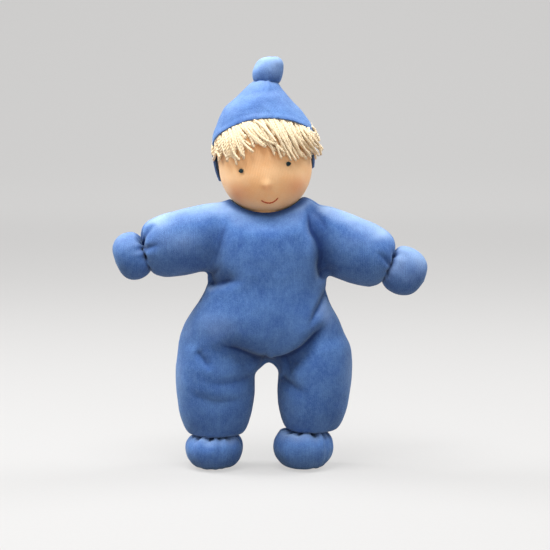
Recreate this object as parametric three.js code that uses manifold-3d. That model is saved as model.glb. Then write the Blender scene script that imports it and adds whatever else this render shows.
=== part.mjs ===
// A stuffed cloth doll in a one-piece velour suit, with a tricot head, a yarn fringe and a tied hat.
// Millimetres, +Z up. The doll faces -Y and its own left is at +X.
// The origin is on the floor between the feet.
import * as THREE from 'three';
import { mergeVertices } from 'three/addons/utils/BufferGeometryUtils.js';
import Module from 'manifold-3d';

const wasm = await Module();
wasm.setup();
const weldDistance = 1e-5;

// Driving dimensions
const gap = 0.3; // between a stuffed piece and what it lies against
const hingeGap = 0.45; // between a limb and the socket that it turns in
const velour = 1.3; // thickness of the suit's cloth
const tricot = 0.9; // thickness of the head's skin
const thread = 1.3; // diameter of the tying thread
const tieSet = 0.6; // distance of a tie from the pivot that the tied end bends at, towards the limb
const soleCut = 0.5; // depth of the flat where a foot stands

// Torso: height, middle, half width and half depth of each section, from the crotch up
const torsoSections = [
  { height: 71.5, middle: -1.5, halfWidth: 7, halfDepth: 7 },
  { height: 75, middle: -3, halfWidth: 30, halfDepth: 18 },
  { height: 82, middle: -4.7, halfWidth: 52, halfDepth: 26.5 },
  { height: 91, middle: -5.2, halfWidth: 55.5, halfDepth: 30.5 },
  { height: 103, middle: -5.4, halfWidth: 51.5, halfDepth: 32 },
  { height: 114, middle: -4.5, halfWidth: 44.5, halfDepth: 31.5 },
  { height: 126, middle: -2.8, halfWidth: 40.5, halfDepth: 30.5 },
  { height: 138, middle: -2.5, halfWidth: 41.5, halfDepth: 31 },
  { height: 152, middle: -2.5, halfWidth: 45, halfDepth: 30.5 },
  { height: 164, middle: -2.5, halfWidth: 45, halfDepth: 28.5 },
  { height: 174, middle: -2.5, halfWidth: 41, halfDepth: 24 },
  { height: 181, middle: -1.5, halfWidth: 34, halfDepth: 17.5 },
  { height: 185.5, middle: 0.5, halfWidth: 24, halfDepth: 10 },
];
const torsoTop = 187;
const crotchDrop = 0.9; // of the crotch's middle below the lowest section

// Head: a ball, drawn out upwards, that leans to the doll's right
const headCentre = new THREE.Vector3(-3.4, 0, 205.2);
const headRadius = 31.3;
const headStretch = 12; // length that the ball is drawn out above its centre
const headRoll = -8; // degrees about Y
const headSeatGap = 0.5;
const chinRoom = new THREE.Vector3(0, -8, 0.4); // how far the seat is widened under the chin
const neckRadius = 13;
const neckWaistRadius = 11.5;
const neckWaistHalf = 2.6; // half the length of the neck's waist
const neckLength = 53.2; // from the head's centre down to the neck's foot
const neckFoot = headCentre.z - neckLength;
const neckFootRadius = 9.8;
const neckFootRise = 3.9; // over which the neck widens from its foot
const neckTieRise = 17; // of the neck's tie over the neck's foot
const skinHoleRadius = 9;

// Face, in the head's own directions from its centre
const eyeSpread = 15.6;
const eyeHeight = 1.2;
const eyeRadius = 1.4;
const eyeThickness = 0.5;
const noseHeight = -8.4;
const noseRadius = 3;
const noseRise = 1.2; // how far the nose lifts the skin
const mouthHalfWidth = 5.3;
const mouthHeight = -20.3; // of its corners
const mouthDip = 2.3;
const mouthThread = 0.8;

// Hat: height over the head's centre, middle across, half width and half depth of each section
const hatCloth = 1.5;
const hatSections = [
  { height: -14, middle: 0, halfWidth: 31.2, halfDepth: 31.2 },
  { height: -7, middle: 0, halfWidth: 33, halfDepth: 33 },
  { height: 4, middle: -0.1, halfWidth: 34.3, halfDepth: 34.3 },
  { height: 15, middle: -0.2, halfWidth: 34.3, halfDepth: 33.9 },
  { height: 24, middle: 1.2, halfWidth: 33, halfDepth: 31.9 },
  { height: 32, middle: 2.3, halfWidth: 29.6, halfDepth: 27.6 },
  { height: 40, middle: 3, halfWidth: 24.6, halfDepth: 22.8 },
  { height: 47, middle: 4.4, halfWidth: 18.1, halfDepth: 17.4 },
  { height: 52.5, middle: 6, halfWidth: 13, halfDepth: 13 },
  { height: 56, middle: 7.4, halfWidth: 7, halfDepth: 7 },
];
const hatEdgeHeight = 16.5; // of the hat's edge over the head's centre, at the temples
const hatEdgeSlope = 32; // degrees that the edge falls from the forehead to the temples
const hatSideSlope = 70; // degrees that it falls behind the temples
const hatNape = -10; // height of the edge over the head's centre, at the nape

// Tip of the hat
const tipPivot = new THREE.Vector3(-2.2, 1.5, 261.6);
const tipLean = 2; // degrees about Y
const tip = { neck: 3.4, halfWidth: 10.3, halfDepth: 10, length: 18.6, dish: 2.6 };

// Fringe: strands of yarn from the hat's edge down over the forehead
const strandRadius = 1.8;
const strandSpread = 82; // degrees to each side of the nose
const strandLift = 2.3; // of a strand's middle over the skin
// How far each strand hangs below the hat's edge, as a share of the longest.
// The row runs from the doll's right to its left.
const strandDropShares = [
  0.62, 0.8, 0.92, 0.98, 1, 0.96, 0.86, 0.68, 0.6, 0.56, 0.6, 0.82,
  0.98, 0.8, 0.9, 0.98, 0.82, 0.86, 0.9, 0.96, 0.9, 0.76,
];
const strandLongest = 22;
const strandSweep = 9; // degrees that a strand's end lies nearer the middle
const strandSweepFrom = 27; // degrees from the nose, from where a strand has all of that sweep

// Arms: pivot in the shoulder, fall of the arm in degrees, and its length to the wrist
const armHalfDepth = 20.5;
const armHalfHeight = 22;
const armSwing = 45; // degrees forwards and back
const wristNeck = 4.6;
const arms = [
  {
    side: 'left', outward: 1, fall: 21.5, length: 50,
    pivot: new THREE.Vector3(34, 0, 158.2),
    hand: { droop: 5, halfWidth: 16, halfDepth: 14, length: 26.6, dish: 2.5 },
  },
  {
    side: 'right', outward: -1, fall: 12.8, length: 48.5,
    pivot: new THREE.Vector3(-38, 0, 159.4),
    hand: { droop: 9.5, halfWidth: 16, halfDepth: 14, length: 21.5, dish: 2.5 },
  },
];

// Legs: pivot in the hip and the sections of the leg down to the ankle, from the doll's middle plane
const legHalfDepth = 24;
const legForward = 60; // degrees that a leg swings
const legBack = 15;
const ankleNeck = 6.2;
const legs = [
  {
    side: 'left', middle: 30.3, halfWidth: 23.9, hipHeight: 77, ankleHeight: 25, lean: -4,
    foot: { middle: 22.5, halfWidth: 20.3, halfLength: 21.5, forward: 2.5, dish: 3.2 },
  },
  {
    side: 'right', middle: -37.3, halfWidth: 26, hipHeight: 77, ankleHeight: 22, lean: 0.5,
    foot: { middle: -38.3, halfWidth: 18.4, halfLength: 21, forward: 2.5, dish: 3.2 },
  },
];

// Shapes of the swelling parts, as shares of their length and of their half sizes
const sleeveShares = [
  [0, 1], [0.3, 1.01], [0.55, 1], [0.78, 0.96], [0.91, 0.86], [0.97, 0.69], [0.985, 0.48],
];
const legShares = [[0, 1], [0.25, 1], [0.5, 0.98], [0.68, 0.94], [0.83, 0.87], [0.93, 0.76], [0.975, 0.62]];
const handShares = [[0.075, 0.66], [0.15, 0.88], [0.34, 1.01], [0.58, 1.01], [0.79, 0.84], [0.93, 0.54]];
const footShares = [[0.1, 0.7], [0.2, 0.9], [0.4, 1], [0.6, 1], [0.8, 0.9], [0.95, 0.66]];
const tipShares = [[0.12, 0.62], [0.22, 0.88], [0.4, 1], [0.62, 0.99], [0.82, 0.82], [0.94, 0.52]];
const strandStopShares = [0, 0.3, 0.65, 1]; // of a strand's length, from its root
const mouthStopShares = [-1, -0.5, 0, 0.5, 1]; // of the mouth's half width
const noseWidthShare = 1.25; // of the nose's radius
const noseDepthShare = 1.05;
const channelShare = 0.5; // of a tied neck's radius, left open through it
const openingShare = 0.5; // of a limb's half depth, left open in its cloth at the pivot's end
const stretchShare = 0.12; // of the head's radius, to each side of its centre, over which it is drawn out
const sweepSwellShare = 1.01; // of a limb's half sizes, where it swells most
const sweepEndShare = 0.05; // of the sweep's radius that is left at its ends
const sweepReach = 62; // that the room for a swinging limb goes out from its pivot

// How finely the shapes are divided
const bodySides = 28;
const limbSides = 18;
const smallSides = 16;
const innerSides = 10;
const hollowSides = 12;
const threadSides = 4;
const eyeSides = 10;
const strandSides = 5;
const bandSides = 6;
const socketRings = 9;
const torsoRings = 13;
const hatRings = 14;
const hatInnerRings = 11;
const ballRings = 8;
const limbRings = 7;
const innerRings = 5;
const domeRingShare = 0.6; // of a limb's rings, on its round end
const headRingShare = 0.6; // of the head's sides
const mouthSteps = 12;
const bandStops = 15;
const bandSteps = 24;
const edgeTurns = 30; // of closing in on the height of the hat's edge

const quarterTurn = 90;
const halfTurn = 180;
const blockSize = 200; // of the block that cuts a sole flat or the hat's edge

const degree = Math.PI / 180;

const cloth = (color, roughness) => new THREE.MeshStandardMaterial({ color, roughness, metalness: 0 });
const colours = {
  velour: 0x4a7fc4, thread: 0x4a6fa8, skin: 0xecc596, yarn: 0xf6e6c6,
  wool: 0xefe6d2, eye: 0x24404a, mouth: 0xb04a34,
};

// Turns a closed mesh into a solid that can be joined and cut
function solid(geometry, matrix) {
  const bare = geometry.clone();
  bare.deleteAttribute('normal');
  bare.deleteAttribute('uv');
  if (matrix) bare.applyMatrix4(matrix);
  const merged = mergeVertices(bare, weldDistance);
  return new wasm.Manifold(new wasm.Mesh({
    numProp: 3,
    vertProperties: merged.attributes.position.array,
    triVerts: new Uint32Array(merged.index.array),
  }));
}

function geometryOf(body) {
  const mesh = body.getMesh();
  const geometry = new THREE.BufferGeometry();
  geometry.setAttribute('position', new THREE.BufferAttribute(new Float32Array(mesh.vertProperties), 3));
  geometry.setIndex(new THREE.BufferAttribute(new Uint32Array(mesh.triVerts), 1));
  geometry.computeVertexNormals();
  return geometry;
}

// The largest of the separate solids that a cut leaves
function largest(body) {
  return body.decompose().sort((one, other) => other.volume() - one.volume())[0];
}

// A closed body through rings of as many points each, closed at either end to one point
function skinOver(rings, start, end) {
  const sides = rings[0].length;
  const points = [start, ...rings.flat(), end];
  const index = [];
  const last = points.length - 1;
  for (let side = 0; side < sides; side++) {
    const next = (side + 1) % sides;
    index.push(0, 1 + next, 1 + side);
    for (let ring = 0; ring + 1 < rings.length; ring++) {
      const low = 1 + ring * sides;
      const high = low + sides;
      index.push(low + side, low + next, high + next, low + side, high + next, high + side);
    }
    index.push(last - sides + side, last - sides + next, last);
  }
  const geometry = new THREE.BufferGeometry().setFromPoints(points);
  geometry.setIndex(index);
  return geometry;
}

// A closed body through rings that lie across +Z.
// Each ring is { at, x, y, a, b }: its height, its middle and its half sizes.
function loft(rings, sides, start, end) {
  const circles = rings.map((ring) => Array.from({ length: sides }, (_, side) => {
    const angle = (2 * Math.PI * side) / sides;
    return new THREE.Vector3(ring.x + ring.a * Math.cos(angle), ring.y + ring.b * Math.sin(angle), ring.at);
  }));
  return skinOver(circles, start, end);
}

// Rings spaced evenly along a smooth curve through the given ones
function smoothRings(rings, count) {
  const curveOf = (points) => new THREE.CatmullRomCurve3(points, false, 'centripetal');
  const places = curveOf(rings.map((ring) => new THREE.Vector3(ring.x, ring.y, ring.at)));
  const sizes = curveOf(rings.map((ring) => new THREE.Vector3(ring.a, ring.b, ring.at)));
  return Array.from({ length: count + 1 }, (_, step) => {
    const place = places.getPoint(step / count);
    const size = sizes.getPoint(step / count);
    return { at: place.z, x: place.x, y: place.y, a: size.x, b: size.y };
  });
}

// Half an ellipsoid's rings, from its pole to its widest ring
function domeRings(height, a, b, steps) {
  return Array.from({ length: steps }, (_, step) => {
    const angle = ((step + 1) / (steps + 1)) * (Math.PI / 2);
    return { at: -height * Math.cos(angle), x: 0, y: 0, a: a * Math.sin(angle), b: b * Math.sin(angle) };
  });
}

function ball(a, b, c, sides) {
  const geometry = new THREE.SphereGeometry(1, sides, Math.round(sides / 2));
  return geometry.scale(a, b, c);
}

// A limb along +Z from its pivot: a dome that turns in the socket, a swelling tube and a closed end.
// Grown by extra all round, for a socket, or shrunk, for the room inside it.
function limb({ a, b, domeHeight, length, shares, lean = 0 }, extra, sides, steps) {
  const shape = smoothRings(
    shares.map(([along, wide]) => ({
      at: along * length, x: lean * along * length, y: 0, a: a * wide, b: b * wide,
    })),
    steps,
  );
  const dome = domeRings(domeHeight, a, b, Math.round(steps * domeRingShare));
  const rings = [...dome, ...shape].map((ring) => ({
    at: ring.at < 0 ? ring.at * (1 + extra / domeHeight) : ring.at * (1 + extra / length),
    x: ring.x, y: 0, a: ring.a + extra, b: ring.b + extra,
  }));
  return loft(
    rings, sides,
    new THREE.Vector3(0, 0, -domeHeight - extra),
    new THREE.Vector3(lean * length, 0, length + extra),
  );
}

// A stuffed ball along +Z from the tie at its start. Its near side is dished, to let it bend at the tie.
function tiedBall({ a, b, length, dish, shares, across = 0, forward = 0 }, shrink, sides, steps) {
  const shape = shares.map(([along, wide]) => ({
    at: along * length, x: across, y: forward, a: a * wide, b: b * wide,
  }));
  const rings = smoothRings(shape, steps).map((ring) => ({
    ...ring, at: ring.at + shrink * (1 - (2 * ring.at) / length), a: ring.a - shrink, b: ring.b - shrink,
  }));
  const start = new THREE.Vector3(0, 0, dish + shrink);
  return loft(rings, sides, start, new THREE.Vector3(across, forward, length - shrink));
}

// The thread round a neck lies in a round hollow at the limb's end
const threadMiddle = (neck) => neck + hingeGap + thread / 2;
const hollowRadius = (neck) => Math.hypot(neck + hingeGap + thread, tieSet + thread / 2) + gap;
const round = (radius, sides, matrix) => solid(ball(radius, radius, radius, sides), matrix);
// A ball whose flat facets lie outside the radius
const roundOutside = (radius, sides, matrix) => round(radius / Math.cos(Math.PI / sides) ** 2, sides, matrix);

const placed = (position, ...turns) => {
  const matrix = new THREE.Matrix4().makeTranslation(position.x, position.y, position.z);
  for (const [axis, degrees] of turns) {
    const direction = { x: [1, 0, 0], y: [0, 1, 0], z: [0, 0, 1] }[axis];
    const axisVector = new THREE.Vector3(...direction);
    matrix.multiply(new THREE.Matrix4().makeRotationAxis(axisVector, degrees * degree));
  }
  return matrix;
};

const doll = new THREE.Group();
function part(parent, name, geometry, color, roughness = 0.9) {
  const mesh = new THREE.Mesh(geometry, cloth(color, roughness));
  mesh.name = name;
  parent.add(mesh);
  return mesh;
}
function frameOf(matrix, parent = doll) {
  const group = new THREE.Group();
  matrix.decompose(group.position, group.quaternion, group.scale);
  parent.add(group);
  return group;
}

// A tied end, along +Z from the tie: the thread, the wad of wool, and the cloth ball with the gathered neck
// that turns in the limb's end. A floor at some distance from the tie cuts it flat.
function addTiedEnd(matrix, size, neck, names) {
  const frame = frameOf(matrix);
  const channelRadius = neck * channelShare;
  const channel = solid(
    new THREE.CylinderGeometry(channelRadius, channelRadius, size.length, innerSides).rotateX(Math.PI / 2),
  );
  const block = new THREE.BoxGeometry(blockSize, blockSize, blockSize).translate(0, 0, blockSize / 2);
  const above = (lift) => (size.floor === undefined ? wasm.Manifold.union([]) : solid(
    block, new THREE.Matrix4().makeTranslation(0, 0, size.floor - lift),
  ));
  const nub = round(neck, innerSides);
  const outer = solid(tiedBall(size, 0, smallSides, ballRings)).add(nub).subtract(above(0));
  const inner = solid(tiedBall(size, velour, innerSides, innerRings)).subtract(above(velour)).add(channel);
  const wad = solid(tiedBall(size, velour + gap, innerSides, innerRings)).subtract(above(velour + gap));
  part(frame, names.cover, geometryOf(outer.subtract(inner)), colours.velour);
  part(frame, names.wad, geometryOf(wad), colours.wool, 1);
  const tie = new THREE.TorusGeometry(threadMiddle(neck), thread / 2, threadSides, smallSides);
  part(frame, names.tie, tie, colours.thread).position.z = -tieSet;
}

// Legs and arms in their own directions: +Z along the limb, +X across its hinge
const armMatrix = (arm, swing = 0) => placed(
  arm.pivot, ['y', arm.outward * arm.fall], ['z', -arm.outward * swing], ['y', arm.outward * quarterTurn],
);
const armShape = (arm) => ({
  a: armHalfHeight, b: armHalfDepth, domeHeight: armHalfDepth, length: arm.length, shares: sleeveShares,
});
const legMatrix = (leg, swing = 0) => placed(
  new THREE.Vector3(leg.middle, 0, leg.hipHeight), ['x', -swing], ['x', halfTurn],
);
const legShape = (leg) => ({
  a: leg.halfWidth, b: legHalfDepth, domeHeight: legHalfDepth, length: leg.hipHeight - leg.ankleHeight,
  shares: legShares, lean: Math.tan(leg.lean * degree),
});

// The room that a limb sweeps through as it turns about its own X, grown by extra. Across the hinge it is an
// arc with two tangents, and along the hinge its radius follows the limb's round end.
function sweep(shape, matrix, from, to, extra, count) {
  const arcTurn = (from + halfTurn - to) / count;
  const outside = 1 / (Math.cos((arcTurn / 2) * degree) * Math.cos(Math.PI / count / 2));
  const halfLength = shape.a * sweepSwellShare + extra;
  const rings = Array.from({ length: count + 1 }, (_, i) => {
    const along = -Math.cos((Math.PI * i) / count);
    const radius = (shape.b + extra) * outside * Math.max(Math.sqrt(1 - along ** 2), sweepEndShare);
    const place = (turn, out, degrees) => new THREE.Vector3(
      along * halfLength + (shape.lean ?? 0) * out,
      radius * Math.sin(turn * degree) + out * Math.sin(degrees * degree),
      radius * Math.cos(turn * degree) + out * Math.cos(degrees * degree),
    );
    const arc = Array.from({ length: count + 1 }, (__, step) => (
      place(to + quarterTurn + arcTurn * step, 0, 0)
    ));
    return [
      place(from - quarterTurn, sweepReach, from), ...arc.reverse(), place(to + quarterTurn, sweepReach, to),
    ];
  });
  const middleOf = (ring) => ring
    .reduce((sum, point) => sum.add(point), new THREE.Vector3())
    .divideScalar(ring.length);
  return solid(skinOver(rings, middleOf(rings[0]), middleOf(rings[rings.length - 1])), matrix);
}
function sockets(extra, count) {
  return wasm.Manifold.union([
    ...arms.map((arm) => sweep(armShape(arm), armMatrix(arm), -armSwing, armSwing, extra, count)),
    ...legs.map((leg) => sweep(legShape(leg), legMatrix(leg), -legBack, legForward, extra, count)),
  ]);
}

// Torso
function torsoBody(shrink, sides, steps) {
  const rings = smoothRings(torsoSections.map((s) => ({
    at: s.height, x: s.middle, y: 0, a: s.halfWidth - shrink, b: s.halfDepth - shrink,
  })), steps);
  const [low, high] = [torsoSections[0], torsoSections[torsoSections.length - 1]];
  const middleHeight = (low.height + torsoTop) / 2;
  const squeeze = 1 - (2 * shrink) / (torsoTop - low.height);
  const fitted = rings.map((ring) => ({ ...ring, at: middleHeight + (ring.at - middleHeight) * squeeze }));
  const bottom = new THREE.Vector3(low.middle, 0, low.height - crotchDrop + shrink);
  return solid(loft(fitted, sides, bottom, new THREE.Vector3(high.middle, 0, torsoTop - shrink)));
}
const neckTieHeight = neckFoot + neckTieRise;
const neckShape = [
  [0, neckFoot], [neckFootRadius, neckFoot], [neckRadius, neckFoot + neckFootRise],
  [neckRadius, neckTieHeight - neckWaistHalf], [neckWaistRadius, neckTieHeight],
  [neckRadius, neckTieHeight + neckWaistHalf], [neckRadius, headCentre.z], [0, headCentre.z],
].map(([x, y]) => new THREE.Vector2(x, y));
const neckPlace = placed(new THREE.Vector3(headCentre.x, headCentre.y, 0), ['x', 90]);
const headSeat = (grow, sides) => round(headRadius + grow, sides, placed(headCentre))
  .add(round(headRadius + grow, sides, placed(headCentre.clone().add(chinRoom))));
const collarRoom = neckRadius + thread + gap;
const neckRoom = solid(
  new THREE.CylinderGeometry(collarRoom, collarRoom, headCentre.z - neckFoot + gap, limbSides)
    .rotateX(Math.PI / 2).translate(headCentre.x, headCentre.y, (headCentre.z + neckFoot - gap) / 2),
);
const dish = headSeat(headSeatGap, bodySides);
const torsoOuter = torsoBody(0, bodySides, torsoRings)
  .subtract(sockets(hingeGap, socketRings)).subtract(dish);
const torsoInner = largest(
  torsoBody(velour, smallSides, ballRings)
    .subtract(sockets(hingeGap + velour, innerRings)).subtract(headSeat(headSeatGap + velour, limbSides)),
);
const torsoCover = largest(torsoOuter.subtract(torsoInner).subtract(neckRoom));
part(doll, 'torso_cover', geometryOf(torsoCover), colours.velour);
const torsoWool = largest(
  torsoBody(velour + gap, smallSides, ballRings)
    .subtract(sockets(hingeGap + velour + gap, innerRings))
    .subtract(headSeat(headSeatGap + velour + gap, limbSides)).subtract(neckRoom),
);
part(doll, 'torso_stuffing', geometryOf(torsoWool), colours.wool, 1);

// Neck
const neckBody = solid(new THREE.LatheGeometry(neckShape, limbSides), neckPlace).subtract(dish);
part(doll, 'neck_stub', geometryOf(neckBody), colours.skin);
const neckTieRadius = neckWaistRadius + gap + thread / 2;
const neckTie = new THREE.TorusGeometry(neckTieRadius, thread / 2, threadSides, limbSides);
part(doll, 'neck_tie', neckTie, colours.thread).position.set(headCentre.x, headCentre.y, neckTieHeight);

// Head, in its own leaning directions
const headMatrix = placed(headCentre, ['y', headRoll]);
const headFrame = frameOf(headMatrix);
function headBall(shrink, sides) {
  const radius = headRadius - shrink;
  const rings = Math.round(sides * headRingShare);
  const geometry = new THREE.SphereGeometry(radius, sides, rings).rotateX(Math.PI / 2);
  const position = geometry.attributes.position;
  for (let i = 0; i < position.count; i++) {
    const height = position.getZ(i);
    const above = THREE.MathUtils.smoothstep(height, -radius * stretchShare, radius * stretchShare);
    position.setZ(i, height + headStretch * above);
  }
  return geometry;
}
const skinRadiusAt = (height) => {
  const onBall = height > headStretch ? height - headStretch : Math.min(height, 0);
  return Math.sqrt(Math.max(0, headRadius ** 2 - onBall ** 2));
};
const noseDepth = skinRadiusAt(noseHeight) - noseRadius + noseRise;
const noseAt = new THREE.Vector3(0, -noseDepth, noseHeight);
const noseBulge = solid(
  ball(noseRadius * noseWidthShare, noseRadius * noseDepthShare, noseRadius, innerSides), placed(noseAt),
);
const nosePocket = round(noseRadius - tricot + gap, innerSides, placed(noseAt));
const skinHole = solid(
  new THREE.CylinderGeometry(skinHoleRadius, skinHoleRadius, headRadius * 2, limbSides)
    .rotateX(Math.PI / 2).translate(0, 0, -headRadius),
);
const skinInner = solid(headBall(tricot, smallSides)).add(nosePocket).add(skinHole);
const skinBody = solid(headBall(0, bodySides)).add(noseBulge).subtract(skinInner);
const coreBody = solid(headBall(tricot + gap, smallSides)).subtract(nosePocket);
part(headFrame, 'head_skin', geometryOf(skinBody), colours.skin);
part(headFrame, 'head_core', geometryOf(coreBody), colours.wool, 1);
const noseBallRadius = noseRadius - tricot;
part(headFrame, 'nose_ball', ball(noseBallRadius, noseBallRadius, noseBallRadius, eyeSides), colours.wool, 1)
  .position.copy(noseAt);

// Eyes lie on the skin and face out along it
const eyeDepth = Math.sqrt(skinRadiusAt(eyeHeight) ** 2 - eyeSpread ** 2);
for (const [name, across] of [['eye_left', eyeSpread], ['eye_right', -eyeSpread]]) {
  const outward = new THREE.Vector3(across, -eyeDepth, eyeHeight).normalize();
  const eye = part(headFrame, name, ball(eyeRadius, eyeRadius, eyeThickness, eyeSides), colours.eye, 0.5);
  eye.position.set(across, -eyeDepth, eyeHeight).addScaledVector(outward, eyeThickness + gap);
  eye.quaternion.setFromUnitVectors(new THREE.Vector3(0, 0, 1), outward);
}

// Mouth: a thread laid in a shallow curve
const onSkin = (across, height, lift) => {
  const radius = skinRadiusAt(height);
  const point = new THREE.Vector3(across, -Math.sqrt(radius ** 2 - across ** 2), height);
  return point.addScaledVector(point.clone().normalize(), lift);
};
const mouthPath = new THREE.CatmullRomCurve3(mouthStopShares.map((share) => onSkin(
  share * mouthHalfWidth, mouthHeight - mouthDip * (1 - share ** 2), mouthThread / 2 + gap,
)));
const threadSection = (radius, sides) => new THREE.Shape(Array.from({ length: sides }, (_, side) => {
  const angle = (2 * Math.PI * side) / sides;
  return new THREE.Vector2(radius * Math.cos(angle), radius * Math.sin(angle));
}));
part(headFrame, 'mouth', new THREE.ExtrudeGeometry(threadSection(mouthThread / 2, bandSides), {
  steps: mouthSteps, bevelEnabled: false, extrudePath: mouthPath,
}), colours.mouth);

// Hat: a cap of one cloth thickness, cut off along its slanting edge
function hatBody(shrink, sides, steps) {
  const rings = smoothRings(hatSections.map((s) => ({
    at: s.height, x: s.middle, y: 0, a: s.halfWidth - shrink, b: s.halfDepth - shrink,
  })), steps);
  const [low, high] = [hatSections[0], hatSections[hatSections.length - 1]];
  return solid(loft(
    rings, sides,
    new THREE.Vector3(low.middle, 0, low.height - hatCloth),
    new THREE.Vector3(high.middle, 0, high.height + hatCloth - shrink),
  ));
}
function belowHatEdge() {
  const block = new THREE.BoxGeometry(blockSize, blockSize, blockSize).translate(0, 0, -blockSize / 2);
  const below = (height, slope) => solid(block, placed(new THREE.Vector3(0, 0, height), ['x', -slope]));
  return below(hatEdgeHeight, hatEdgeSlope)
    .intersect(below(hatEdgeHeight, hatSideSlope))
    .add(below(hatNape, 0));
}
const tipMatrix = placed(tipPivot, ['y', tipLean]);
const tipInHead = new THREE.Matrix4().copy(headMatrix).invert().multiply(tipMatrix);
const tipHollow = (extra) => roundOutside(hollowRadius(tip.neck) + extra, hollowSides, tipInHead);
const hatRoom = hatBody(hatCloth, limbSides, hatInnerRings).subtract(tipHollow(hatCloth));
part(headFrame, 'hat', geometryOf(
  hatBody(0, bodySides, hatRings).subtract(hatRoom).subtract(belowHatEdge()).subtract(tipHollow(0)),
), colours.velour);

// Height of the hat's edge over the skin, in the direction that lies angle to the side of the nose
function edgeHeightAt(angle) {
  let height = hatEdgeHeight;
  for (let turn = 0; turn < edgeTurns; turn++) {
    const forward = skinRadiusAt(height) * Math.cos(angle);
    height = (height + hatEdgeHeight + forward * Math.tan(hatEdgeSlope * degree)) / 2;
  }
  return height;
}
const overSkin = (angle, height, lift) => {
  const radius = skinRadiusAt(height) + lift;
  return new THREE.Vector3(radius * Math.sin(angle), -radius * Math.cos(angle), height);
};

// Fringe: strands that start under the hat's edge and lie over the forehead, sewn to one band
const bandDrop = strandRadius + gap * 2;
function strandPath(turn, dropShare) {
  const bend = strandSweep * THREE.MathUtils.clamp(turn / strandSweepFrom, -1, 1);
  const root = edgeHeightAt(turn * degree) - bandDrop;
  return new THREE.CatmullRomCurve3(strandStopShares.map((share) => overSkin(
    (turn - bend * share) * degree, root - strandLongest * dropShare * share, strandLift,
  )));
}
const strandBodies = strandDropShares.map((dropShare, i) => {
  const turn = strandSpread * ((2 * i) / (strandDropShares.length - 1) - 1);
  return solid(new THREE.ExtrudeGeometry(threadSection(strandRadius, strandSides), {
    steps: strandStopShares.length - 1, bevelEnabled: false, extrudePath: strandPath(turn, dropShare),
  }));
});
const bandTurns = Array.from(
  { length: bandStops }, (_, i) => strandSpread * ((2 * i) / (bandStops - 1) - 1) * degree,
);
const bandPath = new THREE.CatmullRomCurve3(
  bandTurns.map((turn) => overSkin(turn, edgeHeightAt(turn) - bandDrop, strandLift)),
);
const band = solid(new THREE.ExtrudeGeometry(threadSection(strandRadius, bandSides), {
  steps: bandSteps, bevelEnabled: false, extrudePath: bandPath,
}));
part(headFrame, 'hair_fringe', geometryOf(wasm.Manifold.union([band, ...strandBodies])), colours.yarn);

// Tip of the hat
addTiedEnd(tipMatrix, { ...tip, a: tip.halfWidth, b: tip.halfDepth, shares: tipShares }, tip.neck, {
  cover: 'hat_tip', wad: 'hat_tip_wad', tie: 'hat_tie',
});

// A limb: its cloth is open at the pivot end, its wool fills it, and it ends in a hollow round the tie
function addLimb(shape, matrix, endMatrix, neck, names) {
  const frame = frameOf(matrix);
  const inLimb = new THREE.Matrix4().copy(matrix).invert().multiply(endMatrix);
  const hollow = (extra) => roundOutside(hollowRadius(neck) + extra, hollowSides, inLimb);
  const opening = solid(
    new THREE.CylinderGeometry(shape.b * openingShare, shape.b * openingShare, shape.b, innerSides)
      .rotateX(Math.PI / 2).translate(0, 0, -shape.b),
  );
  const outer = solid(limb(shape, 0, limbSides, limbRings)).subtract(hollow(0));
  const inner = solid(limb(shape, -velour, innerSides, innerRings)).subtract(hollow(velour));
  const wool = solid(limb(shape, -velour - gap, innerSides, innerRings)).subtract(hollow(velour + gap));
  part(frame, names.cover, geometryOf(outer.subtract(inner).subtract(opening)), colours.velour);
  part(frame, names.stuffing, geometryOf(wool), colours.wool, 1);
}

// Arms and hands
for (const arm of arms) {
  const matrix = armMatrix(arm);
  const wristPlace = new THREE.Vector3(0, 0, arm.length).applyMatrix4(matrix);
  const handMatrix = placed(wristPlace, ['y', arm.outward * (arm.fall + arm.hand.droop + quarterTurn)]);
  addLimb(armShape(arm), matrix, handMatrix, wristNeck, {
    cover: `sleeve_${arm.side}`, stuffing: `arm_stuffing_${arm.side}`,
  });
  addTiedEnd(handMatrix, {
    ...arm.hand, a: arm.hand.halfWidth, b: arm.hand.halfDepth, shares: handShares,
  }, wristNeck, {
    cover: `hand_cover_${arm.side}`, wad: `hand_wad_${arm.side}`, tie: `wrist_tie_${arm.side}`,
  });
}

// Legs and feet
for (const leg of legs) {
  const shape = legShape(leg);
  const matrix = legMatrix(leg);
  const anklePlace = new THREE.Vector3(shape.lean * shape.length, 0, shape.length).applyMatrix4(matrix);
  const footMatrix = placed(anklePlace, ['x', halfTurn]);
  addLimb(shape, matrix, footMatrix, ankleNeck, {
    cover: `leg_cover_${leg.side}`, stuffing: `leg_stuffing_${leg.side}`,
  });
  addTiedEnd(footMatrix, {
    ...leg.foot, a: leg.foot.halfWidth, b: leg.foot.halfLength, length: leg.ankleHeight + soleCut,
    across: leg.foot.middle - anklePlace.x, floor: leg.ankleHeight, shares: footShares,
  }, ankleNeck, {
    cover: `foot_cover_${leg.side}`, wad: `foot_wad_${leg.side}`, tie: `ankle_tie_${leg.side}`,
  });
}

export default doll;
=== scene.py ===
"""Looks of a stuffed cloth doll in a one-piece velour suit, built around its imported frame.

Meshes are shaped in millimetres and brought to metres when each piece is finished.
"""

import logging
import math
from collections.abc import Iterable, Mapping, Sequence
from dataclasses import dataclass
from enum import Enum
from functools import reduce

import bmesh
import bpy
import numpy as np
from mathutils import Matrix, Vector, noise

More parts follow.
